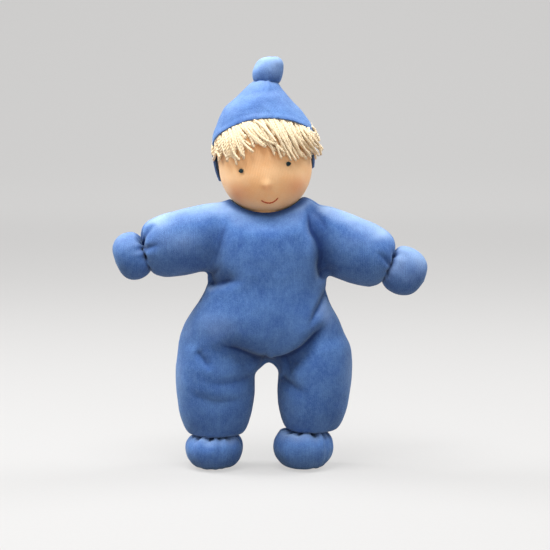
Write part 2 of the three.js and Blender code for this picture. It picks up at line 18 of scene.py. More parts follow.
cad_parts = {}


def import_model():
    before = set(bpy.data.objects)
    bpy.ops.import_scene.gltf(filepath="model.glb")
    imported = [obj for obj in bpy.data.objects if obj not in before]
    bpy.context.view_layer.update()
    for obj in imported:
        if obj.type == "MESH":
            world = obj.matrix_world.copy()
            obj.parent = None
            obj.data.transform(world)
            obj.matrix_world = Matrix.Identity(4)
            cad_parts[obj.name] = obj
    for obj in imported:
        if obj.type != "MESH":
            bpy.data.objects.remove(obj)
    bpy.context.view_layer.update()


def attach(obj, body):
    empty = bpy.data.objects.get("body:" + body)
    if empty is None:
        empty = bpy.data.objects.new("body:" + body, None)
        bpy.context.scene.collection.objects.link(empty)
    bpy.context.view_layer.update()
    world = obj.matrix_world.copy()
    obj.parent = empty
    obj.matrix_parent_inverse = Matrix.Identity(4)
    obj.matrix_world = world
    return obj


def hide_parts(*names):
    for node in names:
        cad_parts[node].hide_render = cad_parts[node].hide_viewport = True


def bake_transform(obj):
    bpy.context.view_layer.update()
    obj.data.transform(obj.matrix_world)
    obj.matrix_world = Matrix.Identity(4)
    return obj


Mesh = bpy.types.Mesh
BMesh = bmesh.types.BMesh
Socket = bpy.types.NodeSocket
Value = Socket | float | Sequence[float]
Pair = tuple[float, float]
Triple = tuple[float, float, float]
Quad = tuple[float, float, float, float]
Material = bpy.types.Material

MM = 0.001
FULL_TURN = 2 * math.pi
UP = Vector((0, 0, 1))
DOWN = Vector((0, 0, -1))
HEAD_CENTRE = (-3.4, 0.0, 205.2)

# Numbers that meshes carry for their materials
ALONG = "along"
ACROSS = "across"
# the cheeks' blush, and shade painted just under the nose
BLUSH_AND_NOSE_SHADE = "blush_and_nose_shade"
# painted shade: darker in folds, round ties and under the head
PAINTED_SHADE = "painted_shade"
# share of painted highlight, on upper sides and on patches
PAINTED_HIGHLIGHT = "rubbed"
FACING = ("facing_x", "facing_y", "facing_z")
MOST_PAINTED_SHADE = 0.9
MOST_PAINTED_HIGHLIGHT = 0.8

# Yarn: its plies, and the radius of one as a share of the yarn's and at its ends as a share of its own
PLIES = 2
PLY_SHARE = 0.56
PLY_END = 0.72

# Colour sockets of a Mix node
MIX_FIRST, MIX_SECOND, MIX_RESULT = 6, 7, 2

SUBDIVIDED = ("SUBSURF", {"levels": 1, "render_levels": 1})

log = logging.getLogger("doll")


class Slot(Enum):
    """The record's material slots that show."""

    VELOUR = "velour"
    TRICOT = "tricot"
    YARN = "yarn"
    BLUE_THREAD = "blue_thread"
    EYE_THREAD = "eye_thread"
    MOUTH_THREAD = "mouth_thread"


class Face(Enum):
    """Which side of the suit a crease lies on, as the sign of Y there."""

    FRONT = -1.0
    BACK = 1.0


# Node materials


class Shader:
    """A node material under construction."""

    def __init__(self, name: str) -> None:
        """Starts a material that has only a Principled shader.

        Args:
            name: the material's name.
        """
        self.material = bpy.data.materials.new(name)
        self.material.use_nodes = True
        self.material.node_tree.nodes.clear()
        self.surface = self.node("BsdfPrincipled")
        self.node("OutputMaterial", {"Surface": self.surface.outputs["BSDF"]})

    def put(self, node: bpy.types.Node, name: str | int, value: Value) -> None:
        """Links a socket to one of a node's inputs, or sets a plain number or colour there."""
        if isinstance(value, Socket):
            self.material.node_tree.links.new(value, node.inputs[name])
        else:
            node.inputs[name].default_value = value

    def node(
        self, kind: str, inputs: Mapping[str | int, Value] | None = None, **settings: object
    ) -> bpy.types.Node:
        """Adds a node.

        Args:
            kind: what follows ShaderNode in its type's name.
            inputs: what goes into its sockets.
            settings: its properties, set before its sockets.

        Returns:
            The node.
        """
        node = self.material.node_tree.nodes.new(f"ShaderNode{kind}")
        for name, value in settings.items():
            setattr(node, name, value)
        for name, value in (inputs or {}).items():
            self.put(node, name, value)
        return node

    def place(self) -> Socket:
        """Returns the piece's own coordinates, in metres."""
        return self.node("TexCoord").outputs["Object"]

    def attribute(self, name: str) -> Socket:
        """Returns the number that the mesh carries under a name."""
        return self.node("Attribute", attribute_name=name).outputs["Fac"]

    def is_seen(self) -> Socket:
        """Returns 1 where the camera sees the surface itself, and 0 where it only lights others."""
        return self.node("LightPath").outputs["Is Camera Ray"]

    def cloud(self, source: Socket, size_mm: float, detail: float = 3.0, rough: float = 0.55) -> Socket:
        """Makes noise.

        Args:
            source: the coordinates.
            size_mm: size of the largest features in millimetres.
            detail: octaves of finer noise.
            rough: weight of the finer octaves.

        Returns:
            A number from 0 to 1.
        """
        inputs = {"Vector": source, "Scale": 1 / (size_mm * MM), "Detail": detail, "Roughness": rough}
        return self.node("TexNoise", inputs).outputs["Fac"]

    def maths(self, kind: str, *values: Value) -> Socket:
        """Returns a Math node's result for sockets or plain numbers."""
        return self.node("Math", dict(enumerate(values)), operation=kind).outputs["Value"]

    def times(self, source: Socket, factor: float) -> Socket:
        """Returns a number times a factor."""
        return self.maths("MULTIPLY", source, factor)

    def total(self, *values: Socket) -> Socket:
        """Returns the sum of several numbers."""
        return reduce(lambda total, value: self.maths("ADD", total, value), values)

    def spread(self, source: Socket, low: float, high: float, to_low: float, to_high: float) -> Socket:
        """Returns a number mapped smoothly from one range to another."""
        inputs = {"Value": source, "From Min": low, "From Max": high, "To Min": to_low, "To Max": to_high}
        return self.node("MapRange", inputs, interpolation_type="SMOOTHSTEP").outputs["Result"]

    def mixed(self, share: Value, first: Value, second: Value, kind: str = "MIX") -> Socket:
        """Returns one colour mixed with another.

        Args:
            share: how much of the second colour.
            first: the first colour.
            second: the second colour.
            kind: the way they are mixed.

        Returns:
            The mixed colour.
        """
        first, second = (value if isinstance(value, Socket) else (*value, 1.0) for value in (first, second))
        inputs = {"Factor": share, MIX_FIRST: first, MIX_SECOND: second}
        return self.node("Mix", inputs, data_type="RGBA", blend_type=kind).outputs[MIX_RESULT]

    def ribs(self, name: str, pitch_mm: float, wobble: Socket, sway: float) -> Socket:
        """Returns knitted ribs that follow a number on the mesh.

        Args:
            name: the mesh's number, in millimetres across the ribs.
            pitch_mm: distance from rib to rib.
            wobble: noise that bends the ribs.
            sway: how far it bends them, in radians.

        Returns:
            A number from -1 to 1.
        """
        turned = self.times(self.attribute(name), FULL_TURN / pitch_mm)
        return self.maths("SINE", self.total(turned, self.times(wobble, sway)))

    def bump(self, height: Socket, depth_mm: float, strength: float) -> Socket:
        """Returns the normal of a fine relief.

        Args:
            height: the relief, where 1 is its full height.
            depth_mm: that height in millimetres.
            strength: share of the relief that shows.

        Returns:
            The normal.
        """
        inputs = {"Height": height, "Distance": depth_mm * MM, "Strength": strength}
        return self.node("Bump", inputs).outputs["Normal"]

    def finish(self, **values: Value) -> Material:
        """Sets or links the surface's own sockets, named with underscores, and returns the material."""
        for name, value in values.items():
            self.put(self.surface, name.replace("_", " "), value)
        return self.material


@dataclass(frozen=True)
class Velour:
    """Brushed cotton velour: deep in the pile, pale where the pile is brushed up, with a painted highlight
    and painted shade mixed in.

    A tone is the range of a noise and the share of the pale colour that it becomes.
    """

    name: str
    deep: Triple = (0.034, 0.095, 0.31)
    pale: Triple = (0.118, 0.25, 0.535)
    # colour of the painted highlight
    rubbed: Triple = (0.4, 0.54, 0.74)
    # colour of the painted shade
    painted_shade_colour: Triple = (0.01, 0.03, 0.13)
    rib_mm: float = 1.15
    patch_mm: float = 19.0
    brush_mm: float = 3.2
    brush_scale: Triple = (1.25, 1.0, 0.8)
    pile_mm: float = 0.7
    patch_tone: Quad = (0.36, 0.66, 0.1, 0.36)
    brush_tone: Quad = (0.34, 0.7, 0.0, 0.22)
    pile_tone: Quad = (0.34, 0.66, -0.16, 0.24)
    rib_tone: float = 0.03
    relief_mm: float = 0.36

    def build(self) -> Material:
        """Returns the material."""
        shader = Shader(self.name)
        place = shader.place()
        patches = shader.cloud(place, self.patch_mm)
        brush_place = shader.node("Mapping", {"Vector": place, "Scale": self.brush_scale}).outputs["Vector"]
        brushed = shader.cloud(brush_place, self.brush_mm, rough=0.6)
        pile = shader.cloud(place, self.pile_mm, rough=0.8)
        rib = shader.ribs(ACROSS, self.rib_mm, shader.cloud(place, 3, 2), 6.0)
        light = shader.total(
            shader.spread(patches, *self.patch_tone),
            shader.spread(brushed, *self.brush_tone),
            shader.spread(pile, *self.pile_tone),
            shader.times(rib, self.rib_tone),
        )
        colour = shader.mixed(light, self.deep, self.pale)
        # painted highlight on upper sides and on patches
        colour = shader.mixed(shader.attribute(PAINTED_HIGHLIGHT), colour, self.rubbed)
        # painted shade in folds, round ties and under the head
        colour = shader.mixed(shader.attribute(PAINTED_SHADE), colour, self.painted_shade_colour)
        height = shader.total(pile, shader.times(rib, 0.1), shader.times(brushed, 0.9))
        return shader.finish(
            Base_Color=colour,
            Normal=shader.bump(height, self.relief_mm, 0.8),
            Roughness=0.95,
            Specular_IOR_Level=0.15,
            Sheen_Weight=0.34,
            Sheen_Roughness=0.42,
            Sheen_Tint=(0.52, 0.76, 1.0, 1.0),
        )


@dataclass(frozen=True)
class Tricot:
    """Fine knitted skin with ribs, a soft blush on the cheeks and shade painted under the nose."""

    name: str
    skin: Triple = (0.89, 0.585, 0.32)
    warm: Triple = (0.89, 0.49, 0.215)
    rosy: Triple = (0.84, 0.29, 0.13)
    rib_mm: float = 1.08
    course_mm: float = 0.864
    patch_mm: float = 11.0
    fuzz_mm: float = 0.5
    relief_mm: float = 0.06

    def build(self) -> Material:
        """Returns the material."""
        shader = Shader(self.name)
        place = shader.place()
        patches = shader.cloud(place, self.patch_mm)
        fuzz = shader.cloud(place, self.fuzz_mm, rough=0.7)
        rib = shader.ribs(ACROSS, self.rib_mm, shader.cloud(place, 6, 2), 2.2)
        course = shader.ribs(ALONG, self.course_mm, shader.cloud(place, 5, 2), 2.6)
        base = shader.mixed(shader.spread(patches, 0.35, 0.7, 0.0, 0.55), self.skin, self.warm)
        # the cheeks' blush and the shade painted under the nose
        base = shader.mixed(shader.attribute(BLUSH_AND_NOSE_SHADE), base, self.rosy)
        shade = shader.total(
            shader.spread(rib, -1.0, 0.2, 0.97, 1.0),
            shader.spread(fuzz, 0.3, 0.7, -0.04, 0.04),
            shader.times(course, 0.015),
        )
        grey = shader.node("CombineColor", {channel: shade for channel in range(3)}).outputs["Color"]
        height = shader.total(rib, shader.times(course, 0.45), fuzz)
        return shader.finish(
            Base_Color=shader.mixed(1.0, base, grey, "MULTIPLY"),
            Normal=shader.bump(height, self.relief_mm, 0.5),
            Roughness=0.9,
            Specular_IOR_Level=0.2,
            Sheen_Weight=0.3,
            Sheen_Roughness=0.5,
            Sheen_Tint=(1.0, 0.9, 0.78, 1.0),
        )


@dataclass(frozen=True)
class Thread:
    """Twisted thread or yarn of one colour, with loose fibres."""

    name: str
    colour: Triple
    dark: Triple
    fibre_mm: float = 0.35
    fuzz: float = 0.3
    relief_mm: float = 0.12

    def build(self) -> Material:
        """Returns the material."""
        shader = Shader(self.name)
        place = shader.place()
        fibres = shader.cloud(place, self.fibre_mm, rough=0.7)
        uneven = shader.cloud(place, self.fibre_mm * 12, 2, 0.5)
        light = shader.total(
            shader.spread(fibres, 0.32, 0.62, 0.25, 0.75), shader.spread(uneven, 0.35, 0.65, 0.0, 0.35)
        )
        return shader.finish(
            Base_Color=shader.mixed(light, self.dark, self.colour),
            Normal=shader.bump(fibres, self.relief_mm, 0.7),
            Roughness=0.88,
            Specular_IOR_Level=0.25,
            Sheen_Weight=self.fuzz,
            Sheen_Roughness=0.45,
        )


@dataclass(frozen=True)
class StudioPaper:
    """Plain pale paper that the doll stands on, and that shows its own light to the camera."""

    name: str
    colour: Triple
    bounce: Triple = (0.3, 0.23, 0.18)
    lit: float = 0.78
    grain_mm: float = 2.5
    grain_shade: float = 0.985

    def build(self) -> Material:
        """Returns the material."""
        shader = Shader(self.name)
        grain = shader.spread(shader.cloud(shader.place(), self.grain_mm, 2), 0.3, 0.7, 0.0, 1.0)
        is_seen = shader.is_seen()
        return shader.finish(
            Base_Color=shader.mixed(is_seen, self.bounce, [c * (1 - self.lit) for c in self.colour]),
            Emission_Color=shader.mixed(grain, self.colour, [c * self.grain_shade for c in self.colour]),
            Emission_Strength=shader.times(is_seen, self.lit),
            Roughness=0.95,
            Specular_IOR_Level=0.1,
        )


FINISHES: Mapping[Slot, Velour | Tricot | Thread] = {
    Slot.VELOUR: Velour("suit_velour"),
    Slot.TRICOT: Tricot("skin_tricot"),
    Slot.YARN: Thread("fringe_cotton", (0.76, 0.64, 0.45), (0.78, 0.62, 0.4), 0.6, 0.3, 0.16),
    Slot.BLUE_THREAD: Thread("tying_thread", (0.13, 0.26, 0.55), (0.06, 0.13, 0.32)),
    Slot.EYE_THREAD: Thread("eye_thread", (0.02, 0.06, 0.075), (0.006, 0.02, 0.028), 0.2, 0.05, 0.05),
    Slot.MOUTH_THREAD: Thread("mouth_thread", (0.55, 0.1, 0.045), (0.36, 0.05, 0.025), 0.2, 0.1, 0.05),
}


class Doll:
    """The doll under construction: its materials and its pieces."""

    def __init__(self) -> None:
        """Builds the materials."""
        self.materials = {slot: finish.build() for slot, finish in FINISHES.items()}
        self.pieces: list[bpy.types.Object] = []

    def add(self, name: str, mesh: Mesh, slot: Slot, body: str, nodes: Sequence[str]) -> bpy.types.Object:
        """Makes a mesh in millimetres into a piece of the doll.

        Args:
            name: the piece's name.
            mesh: its mesh.
            slot: the record's slot that its finish comes from.
            body: the body that it rides on, or an empty name where it rides on none.
            nodes: the solids that it stands for.

        Returns:
            The piece, at the origin, in metres.
        """
        mesh.transform(Matrix.Scale(MM, 4))
        mesh.materials.append(self.materials[slot])
        mesh.shade_smooth()
        piece = bpy.data.objects.new(name, mesh)
        bpy.context.scene.collection.objects.link(piece)
        if body:
            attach(piece, body)
        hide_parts(*nodes)
        log.info("%s: %d faces", name, len(mesh.polygons))
        self.pieces.append(piece)
        return piece


class Part:
    """Something that adds pieces to the doll."""

    def build(self, doll: Doll) -> None:
        """Adds its pieces.

        Args:
            doll: the doll under construction.
        """
        raise NotImplementedError


# Mesh helpers


def spline(rows: Sequence[Sequence[float]], count: int) -> np.ndarray:
    """Rows spaced evenly along a smooth curve through the given ones.

    Args:
        rows: two or more rows of numbers.
        count: how many rows to return.

    Returns:
        An array of count rows.
    """
    points = np.array(rows, float)
    spans = len(points) - 1
    padded = np.vstack([2 * points[0] - points[1], points, 2 * points[-1] - points[-2]])
    place = np.linspace(0, spans, count)
    span = np.clip(place.astype(int), 0, spans - 1)
    part = (place - span)[:, None]
    before, start, end, after = (padded[span + shift] for shift in range(4))
    return 0.5 * (
        2 * start
        + (end - before) * part
        + (2 * before - 5 * start + 4 * end - after) * part**2
        + (3 * start - before - 3 * end + after) * part**3
    )


def fade(values: np.ndarray, low: float, high: float) -> np.ndarray:
    """Smooth rise from 0 at low to 1 at high; low may be the larger."""
    share = np.clip((values - low) / (high - low), 0, 1)
    return share * share * (3 - 2 * share)


def dab(away: np.ndarray, width: float | np.ndarray, power: float = 2.0) -> np.ndarray:
    """Soft spot: 1 where the distance is 0, a third at the width, and near 0 well beyond it."""
    return np.exp(-((away / width) ** power))


def away_from(points: np.ndarray, place: Sequence[float]) -> np.ndarray:
    """Returns each point's distance from a place."""
    return np.linalg.norm(points - np.array(place), axis=1)


def keep_outside(points: np.ndarray, centre: Sequence[float], radius: float) -> None:
    """Moves points that lie inside a ball out to its skin."""
    distance = away_from(points, centre)
    inside = distance < radius
    points[inside] = centre + (points[inside] - centre) * (radius / distance[inside])[:, None]


def frame_at(origin: Sequence[float], along: Vector) -> Matrix:
    """Returns the frame whose +Z runs along a direction in the plane of X and Z, with Y kept."""
    z_axis = along.normalized()
    y_axis = Vector((0, 1, 0))
    x_axis = y_axis.cross(z_axis)
    matrix = Matrix((x_axis, y_axis, z_axis)).transposed().to_4x4()
    return Matrix.Translation(Vector(origin)) @ matrix


def lofted(places: Iterable[Matrix], sides: int, closed: bool = True) -> BMesh:
    """Joins circles to one skin.

    Args:
        places: transforms from a unit circle to each circle, in order.
        sides: points on each circle.
        closed: whether both ends are filled.

    Returns:
        The skin, with its faces outwards.
    """
    bm = bmesh.new()
    loops = []
    for place in places:
        made = bmesh.ops.create_circle(bm, cap_ends=False, segments=sides, radius=1.0, matrix=place)
        loops.append(list({edge for vert in made["verts"] for edge in vert.link_edges}))
    for low, high in zip(loops, loops[1:]):
        bmesh.ops.bridge_loops(bm, edges=low + high)
    for loop in (loops[0], loops[-1]) if closed else ():
        bmesh.ops.holes_fill(bm, edges=loop, sides=0)
    bmesh.ops.recalc_face_normals(bm, faces=bm.faces)
    return bm


def smooth_loft(rows: Sequence[Sequence[float]], count: int, sides: int, closed: bool = True) -> BMesh:
    """Lofts through rows of place, middle x and y, and half sizes in x and y, spaced along a smooth curve."""
    places = []
    for at, x, y, *halves in spline(rows, count).tolist():
        half_x, half_y = (max(half, 0.05) for half in halves)
        places.append(Matrix.Translation((x, y, at)) @ Matrix.Diagonal((half_x, half_y, 1, 1)))
    return lofted(places, sides, closed)


def mesh_of(bm: BMesh, name: str) -> Mesh:
    """Turns a bmesh into a mesh and frees it."""
    mesh = bpy.data.meshes.new(name)
    bm.to_mesh(mesh)
    bm.free()
    return mesh


def points_of(mesh: Mesh) -> np.ndarray:
    """Returns a mesh's points as an array."""
    flat = np.empty(len(mesh.vertices) * 3)
    mesh.vertices.foreach_get("co", flat)
    return flat.reshape(-1, 3)


def normals_of(mesh: Mesh) -> np.ndarray:
    """Returns the normals at a mesh's points."""
    flat = np.empty(len(mesh.vertices) * 3, np.float32)
    mesh.vertex_normals.foreach_get("vector", flat)
    return flat.reshape(-1, 3).astype(float)


def move_points(mesh: Mesh, points: np.ndarray) -> None:
    """Puts a mesh's points in new places."""
    mesh.vertices.foreach_set("co", points.ravel())
    mesh.update()


def number_points(mesh: Mesh, name: str, values: np.ndarray) -> None:
    """Stores one number at each point of a mesh under a name."""
    attribute = mesh.attributes.get(name) or mesh.attributes.new(name, "FLOAT", "POINT")
    attribute.data.foreach_set("value", values.astype(np.float32))


def mark_cloth(
    mesh: Mesh,
    painted_shade: np.ndarray,
    rub: float | np.ndarray,
    rub_from: float = 0.4,
    highlight_patches: float | np.ndarray = 0.0,
) -> None:
    """Paints shade where the cloth is folded in, and paints a highlight where its upper side faces up and on
    patches.

    Args:
        mesh: the cloth.
        painted_shade: the painted shade, a share for each point, 1 at the bottom of a fold.
        rub: how strongly the highlight painted on its upper side shows.
        rub_from: how far its surface must face up for the painted highlight to begin.
        highlight_patches: how strongly a highlight is painted elsewhere.
    """
    painted_shade = np.clip(painted_shade, 0.0, 1.0)
    patchy = np.clip(0.75 + 0.5 * wrinkled(points_of(mesh), 13, 6.2), 0.3, 1.2)
    # painted highlight where the surface faces up, uneven in patches and left out where shade is painted
    upper = fade(normals_of(mesh)[:, 2], rub_from, 1.0)
    # painted shade, darkest at the bottom of folds
    number_points(mesh, PAINTED_SHADE, MOST_PAINTED_SHADE * painted_shade)
    number_points(mesh, PAINTED_HIGHLIGHT, np.clip((rub * upper + highlight_patches) * patchy * (1 - painted_shade), 0.0, MOST_PAINTED_HIGHLIGHT))


def round_ribs(points: np.ndarray, middle: float, half: float) -> np.ndarray:
    """Returns each point's place across upright ribs round a form, from its middle and half width."""
    return np.arctan2(points[:, 0] - middle, np.abs(points[:, 1]) + 3) * half


def keep_facing(mesh: Mesh) -> None:
    """Shades a cut piece by the directions that its points had in the uncut whole."""
    columns = []
    for name in FACING:
        values = np.empty(len(mesh.vertices), np.float32)
        mesh.attributes[name].data.foreach_get("value", values)
        columns.append(values)
        mesh.attributes.remove(mesh.attributes[name])
    facing = np.stack(columns, axis=1)
    facing /= np.linalg.norm(facing, axis=1)[:, None]
    mesh.normals_split_custom_set_from_vertices(facing.tolist())


def with_modifiers(mesh: Mesh, *settings: tuple[str, dict[str, object]]) -> Mesh:
    """A mesh with modifiers applied in order.

    Args:
        mesh: the mesh; it is removed.
        settings: each modifier's type and its properties.

    Returns:
        The new mesh.
    """
    carrier = bpy.data.objects.new("carrier", mesh)
    bpy.context.scene.collection.objects.link(carrier)
    for kind, values in settings:
        modifier = carrier.modifiers.new(kind.lower(), kind)
        for name, value in values.items():
            setattr(modifier, name, value)
    shaped = bpy.data.meshes.new_from_object(carrier.evaluated_get(bpy.context.evaluated_depsgraph_get()))
    bpy.data.objects.remove(carrier)
    bpy.data.meshes.remove(mesh)
    return shaped


def joined(forms: Iterable[BMesh]) -> BMesh:
    """Gathers several bmeshes in one."""
    whole = bmesh.new()
    for form in forms:
        part = mesh_of(form, "part")
        whole.from_mesh(part)
        bpy.data.meshes.remove(part)
    return whole


def wrinkled(points: np.ndarray, size_mm: float, seed: float) -> np.ndarray:
    """Smooth noise at each point.

    Args:
        points: places in millimetres.
        size_mm: size of the noise's features.
        seed: shift that makes one piece's noise unlike another's.

    Returns:
        A number from about -1 to 1 for each point.
    """
    return np.array([noise.noise(row) for row in points / size_mm + seed])


def uneven(points: np.ndarray, dents: Iterable[Triple]) -> np.ndarray:
    """Returns the height of uneven stuffing from the depth, size and seed of each of its noises."""
    return sum(depth * wrinkled(points, size_mm, seed) for depth, size_mm, seed in dents)


def pleats(
    points: np.ndarray,
    centre: Sequence[float],
    axis: Vector,
    count: int,
    inner: float,
    outer: float,
    seed: int,
) -> np.ndarray:
    """Gathers that run out from a tie.

    Args:
        points: places in millimetres.
        centre: the middle of the tie.
        axis: the direction through the tie.
        count: how many gathers there are round it.
        inner: distance from the centre where they are deepest.
        outer: distance at which they have faded.
        seed: picks their uneven spacing.

    Returns:
        A share from about -1 to 1 for each point, 0 beyond the outer distance.
    """
    frame = axis.to_track_quat("Z", "X").to_matrix()
    local = (points - np.array(centre)) @ np.array(frame)
    turn = np.arctan2(local[:, 1], local[:, 0])
    picked = np.random.default_rng(seed)
    bent = sum(
        picked.uniform(0.15, 0.5) * np.sin(order * turn + picked.uniform(0, FULL_TURN))
        for order in (1, 2, 3, 5)
    )
    depth = 0.75 + 0.35 * np.sin(3 * turn + picked.uniform(0, FULL_TURN))
    return np.cos(count * turn + 2.2 * bent) * depth * fade(np.linalg.norm(local, axis=1), outer, inner)


def path_distance(points: np.ndarray, path: np.ndarray) -> tuple[np.ndarray, np.ndarray, np.ndarray]:
    """Distance from points to a bent line, how far along it the nearest place is, and on which side they lie.

    Args:
        points: two numbers for each point.
        path: the line's corners.

    Returns:
        The distances, the shares from 0 at the line's start to 1 at its end, and 1 on its left or -1 on its
        right.
    """
    nearest = np.full(len(points), np.inf)
    share = np.zeros(len(points))
    side = np.ones(len(points))
    spans = len(path) - 1
    for span in range(spans):
        start, step = path[span], path[span + 1] - path[span]
        part = np.clip(((points - start) @ step) / (step @ step), 0, 1)
        away = np.linalg.norm(points - (start + part[:, None] * step), axis=1)
        closer = away < nearest
        nearest[closer] = away[closer]
        share[closer] = ((span + part) / spans)[closer]
        turned = step[0] * (points[:, 1] - start[1]) - step[1] * (points[:, 0] - start[0])
        side[closer] = np.sign(turned)[closer]
    return nearest, share, side


def tube(path: np.ndarray, radii: np.ndarray, sides: int) -> BMesh:
    """A round strand along a path.

    Args:
        path: places in millimetres.
        radii: its radius at each.
        sides: points round it.

    Returns:
        The closed strand.
    """
    places = []
    turn = previous = None
    for step, centre in enumerate(path):
        ahead = Vector(path[min(step + 1, len(path) - 1)] - path[max(step - 1, 0)])
        turn = ahead.to_track_quat("Z", "X") if turn is None else previous.rotation_difference(ahead) @ turn
        previous = ahead
        place = Matrix.Translation(Vector(centre)) @ turn.to_matrix().to_4x4()
        places.append(place @ Matrix.Scale(float(radii[step]), 4))
    return lofted(places, sides)


def plies(path: np.ndarray, radius: float, lay: float, sides: int, start: float) -> list[BMesh]:
    """The two twisted plies of a yarn along a path.

    Args:
        path: places along the yarn, close together.
        radius: of the whole yarn.
        lay: length in which a ply goes round once.
        sides: points round each ply.
        start: turn at which the first ply starts, in radians.

    Returns:
        One strand for each ply.
    """
    run = np.cumsum(np.linalg.norm(np.diff(path, axis=0, prepend=path[:1]), axis=1))
    ahead = np.gradient(path, axis=0)
    ahead /= np.linalg.norm(ahead, axis=1)[:, None]
    side = np.cross(ahead, np.array([0.31, 0.62, 0.72]))
    side /= np.linalg.norm(side, axis=1)[:, None]
    other = np.cross(ahead, side)
    ply = radius * PLY_SHARE
    ends = np.minimum(1.0, PLY_END + (1 - PLY_END) * np.minimum(run, run[-1] - run) / radius)
    strands = []
    for number in range(PLIES):
        turn = start + FULL_TURN * (run / lay + number / PLIES)
        offset = (radius - ply) * (np.cos(turn)[:, None] * side + np.sin(turn)[:, None] * other)
        strands.append(tube(path + offset, ply * ends, sides))
    return strands


def wound(radius: float, heights: np.ndarray, turns: int, thread: float, lay: float, start: float) -> BMesh:
    """A thread wound round +Z.

    Args:
        radius: of the winding.
        heights: the thread's height at even steps along it.
        turns: how often it goes round.
        thread: the thread's own radius.
        lay: length in which its plies go round once.
        start: turn at which the first ply starts, in radians.

    Returns:
        The thread.
    """
    turn = np.linspace(0, turns * FULL_TURN, len(heights))
    path = np.stack([radius * np.cos(turn), radius * np.sin(turn), heights], axis=1)
    return joined(plies(path, thread, lay, 6, start))


# The suit


@dataclass(frozen=True)
class Crease:
    """A fold line seen on the front or the back, by its places across and up in millimetres."""

    path: tuple[Pair, ...]
    depth: float
    width: float
    other_width: float
    face: Face = Face.FRONT
    starts: float = 0.25
    ends: float = 0.1

    def height(self, points: np.ndarray, normals: np.ndarray) -> tuple[np.ndarray, np.ndarray]:
        """How far each point moves out along its normal, and how much shade is painted there.

        Args:
            points: places in millimetres.
            normals: the surface's directions there.

        Returns:
            A distance for each point, below 0 in the fold, and painted shade up to 1 at the bottom of a deep
            fold.
        """
        away, share, side = path_distance(points[:, [0, 2]], spline(self.path, 8 * len(self.path)))
        sign = self.face.value
        shown = fade(sign * normals[:, 1], -0.15, 0.25) * fade(sign * points[:, 1], -4.0, 3.0)
        shown *= fade(share, 0.0, self.starts) * fade(share, 1.0, 1.0 - self.ends)
        width = np.where(side > 0, self.width, self.other_width)
        lip, dip = dab(away - 2.3 * width, 1.2 * width), dab(away, width, 1.6)
        shade = np.maximum(0.85 * dab(away, 0.8 * width, 1.4), 1.4 * dab(away, 1.7))
        return self.depth * shown * (0.04 * lip - dip), shade * shown * min(1.0, self.depth / 4.2)


